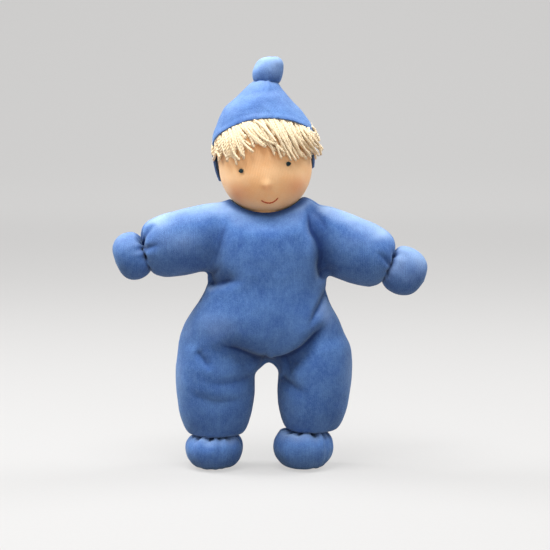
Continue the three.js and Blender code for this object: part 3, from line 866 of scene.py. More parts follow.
CREASES = (
    Crease(((22.5, 184), (26.0, 176), (28.1, 166.1), (32.2, 156.6), (34.2, 147.1), (34.5, 137.6), (38, 128)),
           4.0, 8.5, 3.6, starts=0.35),
    Crease(((24, 182), (31.5, 176.5), (36.5, 168), (40, 158)), 1.2, 2.6, 2.6, starts=0.4, ends=0.5),
    Crease(((-27, 176), (-31.5, 165.4), (-36, 150), (-42.4, 130.0)), 1.7, 5.0, 10.0, starts=0.5, ends=0.3),
    Crease(((-44.5, 127.0), (-35, 129.0), (-26.8, 131.0), (-15.6, 131.6)),
           4.0, 6.0, 3.2, starts=0.1, ends=0.6),
    Crease(((-45.5, 131.0), (-38, 136.0), (-32, 143)), 1.4, 2.2, 2.6, starts=0.1, ends=0.6),
    Crease(((40.3, 124.3), (34, 114.3), (28.6, 105.5), (25, 97.5)), 2.0, 2.6, 2.2, starts=0.05, ends=0.5),
    Crease(((40.3, 101.7), (34, 96.6), (27.7, 89.5), (20.7, 82.4), (12.7, 76.6), (4.5, 74.0), (-3.0, 73.8)),
           5.8, 4.8, 3.8, starts=0.3, ends=0.15),
    Crease(((-36.4, 89.3), (-27.2, 84.4), (-18.4, 78.9), (-9.5, 74.4), (-4.0, 73.4), (1.5, 73.6)),
           5.4, 7.0, 3.8, starts=0.3, ends=0.18),
    Crease(((-50.9, 83.6), (-45, 77), (-38.7, 70)), 1.7, 3.2, 2.2, ends=0.4),
    Crease(((-10.4, 65.2), (-22, 62), (-36, 61.5), (-52, 65)), 1.3, 5.0, 4.0, starts=0.1, ends=0.5),
    Crease(((-58, 55), (-44, 50.5), (-30, 49.0), (-12, 52)), 1.1, 3.2, 5.0, starts=0.4, ends=0.4),
    Crease(((6.2, 64), (12.4, 60.4), (20, 56.2), (28, 54.5)), 2.2, 3.4, 4.6, starts=0.05, ends=0.7),
    Crease(((8.0, 76.0), (12.4, 68.4), (16, 60.2)), 1.0, 2.2, 2.4, starts=0.3, ends=0.6),
    Crease(((-86, 150), (-86.5, 157), (-82, 164.5), (-76, 168)), 1.7, 2.0, 2.4, starts=0.1, ends=0.5),
    Crease(((-85.5, 150), (-80, 153), (-71, 155)), 1.2, 1.8, 2.2, starts=0.1, ends=0.6),
    Crease(((81, 139), (75.5, 146), (69, 151)), 1.1, 1.8, 2.2, starts=0.1, ends=0.6),
    Crease(((28, 172), (33, 156.6), (35, 147.1), (38, 128)), 3.4, 6.0, 2.4, Face.BACK),
    Crease(((-31.5, 170), (-37, 150), (-43.4, 130.0)), 3.0, 2.4, 6.0, Face.BACK),
    Crease(((48, 98), (34, 91), (20.7, 82.4), (12.7, 77.1), (3.7, 74.0)), 3.8, 3.2, 4.0, Face.BACK),
    Crease(((-58, 94), (-40, 87.3), (-27.2, 82.4), (-9.5, 75), (-4.0, 72.5)), 3.8, 4.0, 3.2, Face.BACK),
    Crease(((-3, 100), (-3.2, 88), (-1.4, 74)), 2.4, 2.8, 2.8, Face.BACK, 0.4, 0.05),
    Crease(((-44.5, 127.0), (-34, 122.0), (-22, 120)), 1.8, 3.0, 3.0, Face.BACK, 0.1, 0.6),
    Crease(((40.5, 126.0), (30, 120.0), (20, 119)), 1.8, 3.0, 3.0, Face.BACK, 0.1, 0.6),
    Crease(((10, 60), (26, 55), (46, 59)), 1.6, 3.2, 3.2, Face.BACK, 0.3, 0.5),
    Crease(((-14, 58), (-30, 54), (-54, 58)), 1.6, 3.2, 3.2, Face.BACK, 0.3, 0.5),
)

# Outlines of stuffed forms: places along them and widths there, as shares of the whole
SLEEVE_SHARES = (
    (0.0, 1.0), (0.3, 1.01), (0.55, 1.0), (0.74, 0.965), (0.86, 0.9), (0.94, 0.79), (0.985, 0.63),
)
LEG_SHARES = (
    (0.0, 0.97), (0.15, 1.01), (0.34, 1.02), (0.5, 1.0), (0.68, 0.95), (0.82, 0.875), (0.92, 0.79),
    (0.985, 0.66),
)


@dataclass(frozen=True)
class LimbKind:
    """What both arms, or both legs, have in common."""

    body: str
    piece: str
    covers: tuple[str, str]
    shares: tuple[Pair, ...]
    half_y: float
    neck: float
    gathers: int
    gather_depth: float
    gather_reach: float
    seam_heights: Pair
    seam_inmost: float
    bend: float


ARM = LimbKind(
    "arm", "sleeve", ("sleeve", "arm_stuffing"), SLEEVE_SHARES,
    half_y=20.5, neck=4.6, gathers=9, gather_depth=1.7, gather_reach=19.0,
    seam_heights=(121.0, 200.0), seam_inmost=15.0, bend=30.0,
)
LEG = LimbKind(
    "leg", "leg", ("leg_cover", "leg_stuffing"), LEG_SHARES,
    half_y=24.0, neck=6.4, gathers=13, gather_depth=1.3, gather_reach=17.0,
    seam_heights=(-1.0, 118.0), seam_inmost=-5.0, bend=40.0,
)


@dataclass(frozen=True)
class Limb:
    """An arm or a leg: where it starts, where it points, its swelling form and the seam across its root."""

    kind: LimbKind
    side: str
    pivot: Triple
    along: Vector
    length: float
    half_x: float
    cut_at: Pair
    cut_normal: Pair
    lean: float = 0.0

    def form(self, sides: int) -> BMesh:
        """Returns the limb's stuffed form, from a dome in the body to the tied end."""
        rows = []
        half_y, neck = self.kind.half_y, self.kind.neck
        for step in range(1, 6):
            turn = step / 6 * math.pi / 2
            wide = self.kind.shares[0][1] * math.sin(turn)
            rows.append((-half_y * math.cos(turn), 0, 0, self.half_x * wide, half_y * wide))
        for along, wide in self.kind.shares:
            at = along * self.length
            rows.append((at, self.lean * at, 0, self.half_x * wide, half_y * wide))
        rows.append((self.length + 0.6, self.lean * self.length, 0, neck, neck))
        form = smooth_loft(rows, 40, sides)
        form.transform(frame_at(self.pivot, self.along))
        return form

    def tie_place(self) -> Vector:
        """Returns the middle of the tie at the limb's end."""
        return frame_at(self.pivot, self.along) @ Vector((self.lean * self.length, 0, self.length))

    def cut_from(self, bm: BMesh, start: Vector, normal: Vector) -> BMesh:
        """Cuts the limb off the suit at its seam.

        Args:
            bm: the suit, which loses the limb.
            start: a place on the seam.
            normal: the direction across it, away from the body.

        Returns:
            The limb.
        """
        outward = 1 if normal.x > 0 else -1
        low, high = self.kind.seam_heights

        def near(face: bmesh.types.BMFace) -> bool:
            """Whether a face is in the part of the suit that the seam may cut."""
            middle = face.calc_center_median()
            return low < middle.z < high and middle.x * outward > self.kind.seam_inmost

        faces = [face for face in bm.faces if near(face)]
        around = list({v for f in faces for v in f.verts} | {e for f in faces for e in f.edges}) + faces
        bmesh.ops.bisect_plane(bm, geom=around, dist=1e-5, plane_co=start, plane_no=normal)
        past = [
            face for face in bm.faces if near(face) and normal.dot(face.calc_center_median() - start) > 0
        ]
        bm.faces.index_update()
        chosen = {face.index for face in past}
        limb = bm.copy()
        rest = [face for number, face in enumerate(limb.faces) if number not in chosen]
        bmesh.ops.delete(limb, geom=rest, context="FACES")
        bmesh.ops.delete(bm, geom=past, context="FACES")
        return limb


def falling(outward: int, degrees: float) -> Vector:
    """Returns the direction that falls by some degrees from level, to one side."""
    angle = math.radians(degrees)
    return Vector((outward * math.cos(angle), 0, -math.sin(angle)))


@dataclass
class Suit(Part):
    """The one-piece velour suit, stuffed, with folds where it is sewn through at the shoulders and hips.

    A row of the torso has its height, its middle across and its half sizes. A painted highlight patch has its
    place across and up, its half sizes and how strongly it is painted paler.
    """

    voxel: float = 1.7
    smoothings: int = 7
    dents: tuple[Triple, ...] = ((0.4, 21, 3.1), (0.22, 8, 7.7))
    seam_y: float = -3.0
    seam_depth: float = 0.55
    seam_width: float = 0.75
    head_room: float = 32.5
    collar_drop: float = 6.8
    crotch: float = 74.0
    torso: tuple[Quad, ...] = (
        (73.5, -3, 26, 12),
        (76, -4.4, 47, 20),
        (82, -5.4, 57, 27),
        (91, -5.6, 56.2, 30.5),
        (103, -5.4, 51.5, 32),
        (114, -4.5, 44.5, 31.5),
        (126, -2.8, 40.5, 30.5),
        (138, -2.5, 41.5, 31),
        (152, -2.5, 45, 30.5),
        (164, -2.5, 45, 28),
        (174, -2.5, 41, 22.5),
        (181, -1.5, 34, 15.5),
        (185.5, 0.5, 24, 9),
    )
    gussets: tuple[tuple[Pair, Pair], ...] = (
        ((-6.0, 80.4), (-15.9, 73.0)),
        ((5.0, 79.9), (13.3, 72.3)),
    )
    gusset_radius: float = 9.0
    gusset_depth: float = 15.0
    creases: tuple[Crease, ...] = CREASES
    highlight_patches: tuple[tuple[float, ...], ...] = (
        (-37.0, 100.0, 11.0, 8.0, 0.2),
        (-58.0, 103.0, 6.0, 13.0, 0.16),
        (37.5, 107.0, 5.0, 9.0, 0.22),
        (54.5, 68.0, 4.5, 15.0, 0.16),
        (-64.0, 66.0, 4.0, 15.0, 0.16),
        (-66.0, 158.0, 17.0, 9.0, 0.16),
        (60.0, 158.0, 16.0, 6.0, 0.1),
    )
    limbs: tuple[Limb, ...] = (
        Limb(ARM, "left", (34, 0, 158.2), falling(1, 21.5), 50.0, 22, (27.0, 170.0), (41.0, 10.0)),
        Limb(ARM, "right", (-38, 0, 159.4), falling(-1, 12.8), 48.5, 22, (-31.5, 165.4), (-34.5, 10.9)),
        Limb(
            LEG, "left", (31.4, 0, 77), DOWN, 52.0, 24.9, (3.7, 74.4), (25.2, -34.6),
            math.tan(math.radians(4)),
        ),
        Limb(
            LEG, "right", (-38.1, 0, 77), DOWN, 55.0, 26.6, (-5.0, 72.6), (-15.0, -28.5),
            -math.tan(math.radians(0.5)),
        ),
    )

    def whole(self) -> Mesh:
        """Returns the whole suit as one smooth stuffed form, without its folds."""
        rows = [(at, middle, 0, wide, deep) for at, middle, wide, deep in self.torso]
        forms = [smooth_loft(rows, count=40, sides=56), *(limb.form(40) for limb in self.limbs)]
        radius, deep = self.gusset_radius, self.gusset_depth
        for high, low in self.gussets:
            ahead = Vector((low[0] - high[0], 0, low[1] - high[1]))
            rows = [
                (-radius * math.cos(turn), 0, 0, radius * math.sin(turn), deep * math.sin(turn))
                for turn in (0.3, 0.7, 1.1)
            ]
            rows += [(at, 0, 0, radius, deep) for at in (0.0, ahead.length)]
            rows.append((ahead.length + radius * 0.8, 0, 0, radius * 0.5, deep * 0.5))
            gusset = smooth_loft(rows, count=20, sides=28)
            gusset.transform(frame_at((high[0], 0, high[1]), ahead))
            forms.append(gusset)
        mesh = mesh_of(joined(forms), "suit")
        mesh = with_modifiers(mesh, ("REMESH", {"mode": "VOXEL", "voxel_size": self.voxel}))
        bm = bmesh.new()
        bm.from_mesh(mesh)
        bpy.data.meshes.remove(mesh)
        for _ in range(self.smoothings):
            bmesh.ops.smooth_vert(
                bm, verts=bm.verts, factor=0.5, use_axis_x=True, use_axis_y=True, use_axis_z=True
            )
        return with_modifiers(mesh_of(bm, "suit"), SUBDIVIDED)

    def folded(self, mesh: Mesh) -> None:
        """Presses the folds, seams and gathers into the suit."""
        points, normals = points_of(mesh), normals_of(mesh)
        x, y, z = points.T
        folds = [crease.height(points, normals) for crease in self.creases]
        # painted shade along the folds
        lift, painted_shade = (sum(values) for values in zip(*folds))
        lift += uneven(points, self.dents)
        at_side = fade(np.abs(normals[:, 1]), 0.8, 0.4)
        lift -= self.seam_depth * dab(y - self.seam_y, self.seam_width) * at_side
        for seed, limb in enumerate(self.limbs, 40):
            kind, reach, tie = limb.kind, limb.kind.gather_reach, limb.tie_place()
            lift += kind.gather_depth * pleats(points, tie, limb.along, kind.gathers, 5.5, reach, seed)
            # painted shade round each tie
            painted_shade += 0.8 * fade(away_from(points, tie), 0.8 * reach, 0.4 * reach)
        points += normals * lift[:, None]
        under_chin = dab(x - HEAD_CENTRE[0], 22.0) * fade(-y, 2.0, 12.0)
        z -= self.collar_drop * under_chin * fade(z, 158.0, 178.0)
        keep_outside(points, HEAD_CENTRE, self.head_room)
        move_points(mesh, points)
        # painted shade on the suit just under the head
        painted_shade += 0.9 * fade(away_from(points, HEAD_CENTRE) - self.head_room, 6.0, 0.5)
        # painted highlight on upper sides, weaker on the chest, and on given patches on the front
        chest = 0.85 * dab(x - HEAD_CENTRE[0], 24.0) * fade(-y, -2.0, 6.0)
        highlight_patches = [
            share * dab(x - across, wide) * dab(z - up, high) for across, up, wide, high, share in self.highlight_patches
        ]
        mark_cloth(mesh, painted_shade, 0.75 * (1 - chest), highlight_patches=np.max(highlight_patches, axis=0) * fade(y, 14.0, -4.0))

    def across_ribs(self, points: np.ndarray) -> np.ndarray:
        """Returns each point's place across the cloth's ribs, in millimetres."""
        x, _, z = points.T
        across = x.copy()
        for middle, half, chosen in (
            (-3.0, 38.0, (z > self.crotch) & (np.abs(x + 3) < 44)),
            (29.0, 22.0, (z <= self.crotch) & (x > 0)),
            (-37.3, 24.0, (z <= self.crotch) & (x <= 0)),
        ):
            across[chosen] = middle + round_ribs(points[chosen], middle, half)
        return across

    def build(self, doll: Doll) -> None:
        """Builds the suit and cuts it at its folds into the torso and the limbs."""
        mesh = self.whole()
        self.folded(mesh)
        number_points(mesh, ACROSS, self.across_ribs(points_of(mesh)))
        for name, values in zip(FACING, normals_of(mesh).T):
            number_points(mesh, name, values)
        bm = bmesh.new()
        bm.from_mesh(mesh)
        bpy.data.meshes.remove(mesh)
        for limb in self.limbs:
            kind, side = limb.kind, limb.side
            start, normal = (Vector((x, 0, z)) for x, z in (limb.cut_at, limb.cut_normal))
            normal.normalize()
            name = f"suit_{kind.piece}_{side}"
            covers = [f"{cover}_{side}" for cover in kind.covers]
            piece = doll.add(name, mesh_of(limb.cut_from(bm, start, normal), name), Slot.VELOUR, "", covers)
            keep_facing(piece.data)
            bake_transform(piece)
        mesh = mesh_of(bm, "suit_torso")
        torso = doll.add("suit_torso", mesh, Slot.VELOUR, "torso", ("torso_cover", "torso_stuffing"))
        keep_facing(torso.data)


# Tied ends: hands, feet and the tip of the hat


@dataclass
class TiedEnd(Part):
    """A ball of cloth and wool beyond a tie, with its gathers, and the thread of the tie."""

    name: str
    tie_name: str
    body: str
    tie_body: str
    nodes: tuple[str, ...]
    tie_node: str
    place: Triple
    along: Vector
    half_x: float
    half_y: float
    length: float
    neck: float
    shares: tuple[Pair, ...]
    seed: int
    gathers: int
    gather_depth: float
    gather_reach: float
    across: float = 0.0
    forward: float = 0.0
    floor: bool = False
    rib_middle: float = 0.0
    tie_set: float = 0.6
    thread: float = 1.1
    turns: int = 3
    lumps: tuple[Quad, ...] = ()
    lump_width: float = 5.0
    tie_shade: float = 0.8
    # strength of the highlight painted on the ball's upper side, and how far up it starts
    rub: float = 0.4
    rub_from: float = 0.3

    def form(self) -> Mesh:
        """Returns the ball, with its neck at the tie."""
        rows = [(at, 0, 0, self.neck * wide, self.neck * wide) for at, wide in ((-2.2, 0.8), (-0.6, 0.93))]
        rows.append((0.0, self.across * 0.3, self.forward * 0.3, self.neck * 1.2, self.neck * 1.2))
        rows += [
            (along * self.length, self.across, self.forward, self.half_x * wide, self.half_y * wide)
            for along, wide in self.shares
        ]
        rows.append((self.length, self.across, self.forward, 0.6, 0.6))
        bm = smooth_loft(rows, count=44, sides=72)
        bm.transform(frame_at(self.place, self.along))
        mesh = mesh_of(bm, self.name)
        points, normals = points_of(mesh), normals_of(mesh)
        lift = self.gather_depth * pleats(
            points, self.place, self.along, self.gathers, self.neck, self.gather_reach, self.seed
        )
        lift += uneven(points, ((0.3, 9, self.seed * 1.7), (0.35, 16, self.seed * 2.9)))
        for *place, out in self.lumps:
            lift += out * dab(away_from(points, place), self.lump_width)
        lift *= fade(away_from(points, self.place), 1.5, 6.0)
        points += normals * lift[:, None]
        if self.floor:
            points[:, 2] = np.maximum(points[:, 2], 0.0)
        move_points(mesh, points)
        number_points(mesh, ACROSS, round_ribs(points, self.rib_middle, 13))
        # painted shade that fades in towards the tie
        near_tie = fade(away_from(points, self.place), 0.9 * self.half_x, 0.5 * self.half_x)
        # painted shade near the tie and a painted highlight on the ball's upper side
        mark_cloth(mesh, self.tie_shade * near_tie, self.rub, self.rub_from)
        return mesh

    def wraps(self) -> Mesh:
        """Returns the thread wound round the neck."""
        turn = np.linspace(0, self.turns * FULL_TURN, 120)
        heights = 0.35 * np.sin(turn * 1.37 + self.seed) + np.linspace(-0.75, 0.75, len(turn)) - self.tie_set
        radius = self.neck + 0.45 + self.thread * 0.35
        bm = wound(radius, heights, self.turns, self.thread * 0.42, 2.4, self.seed)
        bm.transform(frame_at(self.place, self.along))
        return mesh_of(bm, self.tie_name)

    def build(self, doll: Doll) -> None:
        """Builds the ball and its tie."""
        end = doll.add(self.name, self.form(), Slot.VELOUR, self.body, self.nodes)
        doll.add(self.tie_name, self.wraps(), Slot.BLUE_THREAD, self.tie_body, (self.tie_node,))


HAND_SHARES = ((0.01, 0.66), (0.08, 0.88), (0.25, 1.0), (0.52, 1.02), (0.76, 0.88), (0.92, 0.58))
FOOT_SHARES = ((0.01, 0.7), (0.08, 0.86), (0.25, 0.98), (0.48, 1.0), (0.72, 0.9), (0.93, 0.62))
TIP_SHARES = ((0.0, 0.66), (0.08, 0.84), (0.22, 0.95), (0.44, 1.0), (0.66, 0.93), (0.83, 0.77), (0.94, 0.52))


def limb_end(side: str, end: str, tie: str, limb: str, **shape: object) -> TiedEnd:
    """Returns a hand or a foot with the names that go with its side."""
    return TiedEnd(
        f"{end}_{side}", f"{tie}_wrap_{side}", f"{end}_{side}", f"{limb}_{side}",
        (f"{end}_cover_{side}", f"{end}_wad_{side}"), f"{tie}_tie_{side}", **shape,
    )


def hand(side: str, **shape: object) -> TiedEnd:
    """Returns a hand."""
    return limb_end(
        side, "hand", "wrist", "arm", half_x=16.0, half_y=14.0, neck=4.6, shares=HAND_SHARES,
        gathers=11, gather_depth=1.0, gather_reach=20.0, **shape,
    )


def foot(side: str, **shape: object) -> TiedEnd:
    """Returns a foot."""
    return limb_end(
        side, "foot", "ankle", "leg", along=DOWN, neck=6.2, shares=FOOT_SHARES,
        forward=-2.5, gather_depth=2.1, floor=True, **shape,
    )


def tied_ends() -> list[TiedEnd]:
    """Returns the hands, the feet and the tip of the hat."""
    return [
        hand(
            "left", place=(80.521, 0, 139.875), along=falling(1, 26.5), length=26.6,
            seed=11, rib_middle=90, rub=0.6, rub_from=-0.6,
        ),
        hand(
            "right", place=(-85.295, 0, 148.655), along=falling(-1, 22.3), length=21.5,
            seed=12, rib_middle=-92, rub=0.4, rub_from=-0.1,
        ),
        foot(
            "left", place=(26.664, 0, 25.0), half_x=20.3, half_y=21.5, length=25.5, across=4.3,
            gathers=13, gather_reach=33.0, seed=13, rib_middle=22.5,
        ),
        foot(
            "right", place=(-36.82, 0, 22.0), half_x=19.2, half_y=21.0, length=22.5, across=2.1,
            gathers=12, gather_reach=31.0, seed=14, rib_middle=-38.3,
        ),
        TiedEnd(
            "hat_tip_ball", "hat_wrap", "tip", "head", ("hat_tip", "hat_tip_wad"), "hat_tie",
            place=(-2.2, 1.5, 261.6), along=Vector((math.sin(math.radians(2)), 0, 1)),
            half_x=10.3, half_y=10, length=18.0, neck=3.4, shares=TIP_SHARES, seed=15,
            gathers=8, gather_depth=0.6, gather_reach=12.0, tie_shade=0.25, rub=0.75, rub_from=-0.6,
            lumps=((5.5, -2, 276.0, 2.2), (-9.0, -2, 275.5, -1.7), (-7.5, -3, 264.5, 0.6)),
        ),
    ]


# The head


@dataclass
class Head(Part):
    """The stuffed tricot head with its nose, its stitched eyes and mouth, and the neck below it."""

    radius: float = 31.3
    drawn: float = 12.0
    roll: float = -8.0
    nose: Pair = (-0.5, -10.2)
    nose_rise: float = 1.7
    nose_width: float = 3.2
    eyes: tuple[Pair, ...] = ((15.6, 1.5), (-15.9, 1.2))
    eye_radius: float = 1.45
    eye_stitches: int = 7
    cheeks: tuple[Pair, ...] = ((19.5, -14.6), (-20.0, -13.6))
    cheek_rise: float = 0.55
    brow_depth: float = 0.45
    stitch_depth: float = 0.35
    dents: tuple[Triple, ...] = ((0.16, 12, 5.3),)
    mouth_half: float = 5.3
    mouth_height: float = -20.3
    mouth_dip: float = 2.3
    mouth_stitches: int = 5
    neck_rows: tuple[Pair, ...] = ((152, 10.5), (158, 13), (165, 13), (169, 11.6), (172, 12.4), (176.5, 12.6))
    neck_tie: float = 169.0
    neck_thread_radius: float = 12.35

    def frame(self) -> Matrix:
        """Returns the head's leaning frame."""
        return Matrix.Translation(Vector(HEAD_CENTRE)) @ Matrix.Rotation(math.radians(self.roll), 4, "Y")

    def skin_radius(self, height: float) -> float:
        """Returns the head's radius at a height over its centre."""
        on_ball = height - self.drawn if height > self.drawn else min(height, 0.0)
        return math.sqrt(max(0.0, self.radius**2 - on_ball**2))

    def on_face(self, across: float, height: float, lift: float) -> np.ndarray:
        """Returns the place on the face, in the head's frame, raised by lift."""
        depth = math.sqrt(max(self.skin_radius(height) ** 2 - across**2, 0.01))
        point = np.array([across, -depth, height])
        return point * (1 + lift / np.linalg.norm(point))

    def skin(self) -> Mesh:
        """Returns the head's tricot ball with its nose."""
        bm = bmesh.new()
        bmesh.ops.create_uvsphere(bm, u_segments=144, v_segments=96, radius=self.radius)
        mesh = mesh_of(bm, "head_tricot")
        points = points_of(mesh)
        x, y, z = points.T
        z += self.drawn * fade(z, -0.12 * self.radius, 0.12 * self.radius)
        move_points(mesh, points)
        normals = normals_of(mesh)
        front = fade(-y, 0.0, 8.0)
        nose_away = np.hypot((x - self.nose[0]) / 0.92, z - self.nose[1])
        lift = self.nose_rise * dab(nose_away, self.nose_width, 2.4)
        lift -= self.brow_depth * dab(z - 3.0, 7.0) * dab(x, 26.0, 4)
        for across, up in self.cheeks:
            lift += self.cheek_rise * dab(np.hypot(x - across, z - up), 8.5)
        corners = [(side * self.mouth_half, self.mouth_height) for side in (-1, 1)]
        for across, up in (*corners, *self.eyes):
            lift -= self.stitch_depth * dab(np.hypot(x - across, z - up), 1.8)
        lift = lift * front + uneven(points, self.dents)
        points += normals * lift[:, None]
        move_points(mesh, points)
        number_points(mesh, ACROSS, np.arctan2(x, -y) * self.radius)
        number_points(mesh, ALONG, z)
        blush_and_nose_shade = sum(0.42 * dab(np.hypot(x - across, (z - up) * 1.15), 7.5) for across, up in self.cheeks)
        blush_and_nose_shade += 0.12 * dab(np.hypot(x, z - 12.0), 16.0)
        # painted shade: rosier just under the nose
        blush_and_nose_shade += 0.2 * dab(nose_away - 1.0, 3.0) * (z < self.nose[1])
        number_points(mesh, BLUSH_AND_NOSE_SHADE, np.clip(blush_and_nose_shade * front, 0, 1))
        mesh.transform(self.frame())
        return mesh

    def stitches(self, centre: Pair) -> Mesh:
        """Returns one eye, a dot of close upright stitches."""
        strands = []
        half = (self.eye_stitches - 1) / 2
        for number in range(self.eye_stitches):
            across = (number - half) / half * self.eye_radius * 0.88
            reach = math.sqrt(max(self.eye_radius**2 - across**2, 0.16))
            heights = np.linspace(-reach, reach, 9)
            to_end = (np.abs(heights) / reach) ** 4
            x = centre[0] + across + 0.05 * math.sin(number * 2.3)
            path = [self.on_face(x, centre[1] + up, 0.42 - 0.75 * sunk) for up, sunk in zip(heights, to_end)]
            strands.append(tube(np.array(path), 0.27 * (1 - 0.45 * to_end), 8))
        mesh = mesh_of(joined(strands), "eye")
        mesh.transform(self.frame())
        return mesh

    def mouth(self) -> Mesh:
        """Returns the mouth, a curved line of back stitches."""
        strands = []
        step = 2 / self.mouth_stitches
        for number in range(self.mouth_stitches):
            shares = np.linspace(-1 + number * step - 0.03, -1 + (number + 1) * step + 0.03, 9)
            path = [
                self.on_face(
                    share * self.mouth_half,
                    self.mouth_height - self.mouth_dip * (1 - share**2),
                    0.34 - 0.35 * abs(part) ** 3,
                )
                for share, part in zip(shares, np.linspace(-1, 1, 9))
            ]
            radius = 0.54 - 0.05 * abs(number - self.mouth_stitches // 2)
            strands += plies(np.array(path), radius, lay=2.6, sides=7, start=number * 1.1)
        mesh = mesh_of(joined(strands), "mouth")
        mesh.transform(self.frame())
        return mesh

    def neck(self) -> Mesh:
        """Returns the stuffed neck between the head and the body, with its gathers."""
        x, y, _ = HEAD_CENTRE
        bm = smooth_loft([(at, 0, 0, half, half) for at, half in self.neck_rows], count=26, sides=48)
        bm.transform(Matrix.Translation((x, y, 0)))
        mesh = mesh_of(bm, "neck")
        points, normals = points_of(mesh), normals_of(mesh)
        gathers = pleats(points, (x, y, self.neck_tie), UP, count=14, inner=11, outer=17, seed=21)
        points += normals * (0.4 * gathers)[:, None]
        keep_outside(points, HEAD_CENTRE, self.radius + 0.3)
        move_points(mesh, points)
        number_points(mesh, ACROSS, np.arctan2(points[:, 0] - x, -points[:, 1]) * 13)
        number_points(mesh, ALONG, points[:, 2])
        number_points(mesh, BLUSH_AND_NOSE_SHADE, np.zeros(len(points)))
        return mesh

    def neck_thread(self) -> Mesh:
        """Returns the thread wound round the neck."""
        bm = wound(self.neck_thread_radius, np.linspace(-0.5, 0.5, 120), 2, 0.5, 2.6, 0.3)
        bm.transform(Matrix.Translation((*HEAD_CENTRE[:2], self.neck_tie)))
        return mesh_of(bm, "neck_thread")

    def build(self, doll: Doll) -> None:
        """Builds the head, the face and the neck."""
        solids = ("head_skin", "head_core", "nose_ball")
        skin = doll.add("head_tricot", self.skin(), Slot.TRICOT, "head", solids)
        neck = doll.add("neck_tricot", self.neck(), Slot.TRICOT, "neck", ("neck_stub",))
        doll.add("neck_wrap", self.neck_thread(), Slot.BLUE_THREAD, "neck", ("neck_tie",))
        for name, centre in zip(("eye_left", "eye_right"), self.eyes):
            doll.add(f"{name}_stitches", self.stitches(centre), Slot.EYE_THREAD, "head", (name,))
        doll.add("mouth_stitches", self.mouth(), Slot.MOUTH_THREAD, "head", ("mouth",))


@dataclass
class Hat(Part):
    """The pointed velour hat: one cloth thickness, sewn to the head along its slanting edge."""

    head: Head
    cloth: float = 1.4
    edge_height: float = 14.0
    edge_slope: float = 35.5
    side_slope: float = 70.0
    edge_tilt: float = 2.5
    nape: float = -3.5
    nape_slope: float = 12.0
    gathered: Triple = (7.8, 0.0, 57.0)
    dents: tuple[Triple, ...] = ((0.45, 15, 9.1), (0.2, 6, 4.4))
    seam_depth: float = 0.5
    seam_width: float = 0.8
    sections: tuple[Quad, ...] = (
        (-14, 0, 31.6, 31.6),
        (-7, 0, 33.4, 33.2),
        (4, -0.1, 34.6, 34.3),
        (15, 0.2, 34.7, 33.9),
        (24, 0.9, 33.9, 32),
        (28.5, 0.8, 32.1, 30.2),
        (32.3, 0.9, 29.8, 28),
        (36.5, 0.6, 27.4, 25.6),
        (40, 0.3, 25, 23.4),
        (43.7, 0.6, 22.4, 21),
        (47, 1.7, 19.2, 18.2),
        (50.5, 3.2, 15.4, 14.8),
        (54, 4.6, 12.2, 12.2),
        (56.8, 5.8, 9, 9.4),
        (58.2, 6.9, 5.8, 6.6),
        (57.2, 8.2, 3.8, 4.2),
    )

    def planes(self) -> list[tuple[Vector, Vector]]:
        """Returns a place and a direction up for each plane of the edge: forehead, temples and nape."""
        tilt = Matrix.Rotation(math.radians(self.edge_tilt), 3, "Y")
        return [
            (height * UP, turn @ Matrix.Rotation(math.radians(-slope), 3, "X") @ UP)
            for height, turn, slope in (
                (self.edge_height, tilt, self.edge_slope),
                (self.edge_height, tilt, self.side_slope),
                (self.nape, Matrix.Identity(3), self.nape_slope),
            )
        ]

    def shell(self) -> Mesh:
        """Returns the hat's cloth."""
        rows = [(at, middle, 0, wide, deep) for at, middle, wide, deep in self.sections]
        bm = smooth_loft(rows, count=60, sides=120, closed=False)
        planes = self.planes()
        for place, normal in planes:
            geom = [*bm.verts, *bm.edges, *bm.faces]
            bmesh.ops.bisect_plane(bm, geom=geom, dist=1e-4, plane_co=place, plane_no=normal)
        cut = []
        for face in bm.faces:
            middle = face.calc_center_median()
            front, side, back = ((middle - place).dot(normal) < 0 for place, normal in planes)
            if (front and side) or back:
                cut.append(face)
        bmesh.ops.delete(bm, geom=cut, context="FACES")
        bmesh.ops.recalc_face_normals(bm, faces=bm.faces)
        mesh = mesh_of(bm, "hat")
        points, normals = points_of(mesh), normals_of(mesh)
        if np.mean(np.sum(normals * (points - np.array([0, 0, 20])), axis=1)) < 0:
            mesh.flip_normals()
            normals = -normals
        front, side, back = ((points - np.array(place)) @ np.array(normal) for place, normal in planes)
        over_edge = np.minimum(np.maximum(front, side), back)
        lift = uneven(points, self.dents)
        lift += 0.3 * dab(over_edge - 1.6, 1.5) - 0.12 * dab(over_edge - 4.6, 0.9)
        lift += 0.5 * pleats(points, self.gathered, UP, count=7, inner=5, outer=15, seed=33)
        lift -= self.seam_depth * dab(points[:, 0], self.seam_width) * (points[:, 1] > 5)
        points += normals * lift[:, None]
        move_points(mesh, points)
        number_points(mesh, ACROSS, round_ribs(points, 0, 30))
        # painted shade round the gathers at the top, a painted highlight on upper sides and a faint one all
        # over
        mark_cloth(mesh, 0.5 * fade(away_from(points, self.gathered), 9.0, 5.0), 0.3, highlight_patches=0.08)
        mesh.transform(self.head.frame())
        thick = {"thickness": self.cloth, "offset": -1.0, "use_rim": True, "use_even_offset": True}
        return with_modifiers(mesh, ("SOLIDIFY", thick), SUBDIVIDED)

    def build(self, doll: Doll) -> None:
        """Builds the hat."""
        doll.add("hat_velour", self.shell(), Slot.VELOUR, "head", ("hat",))


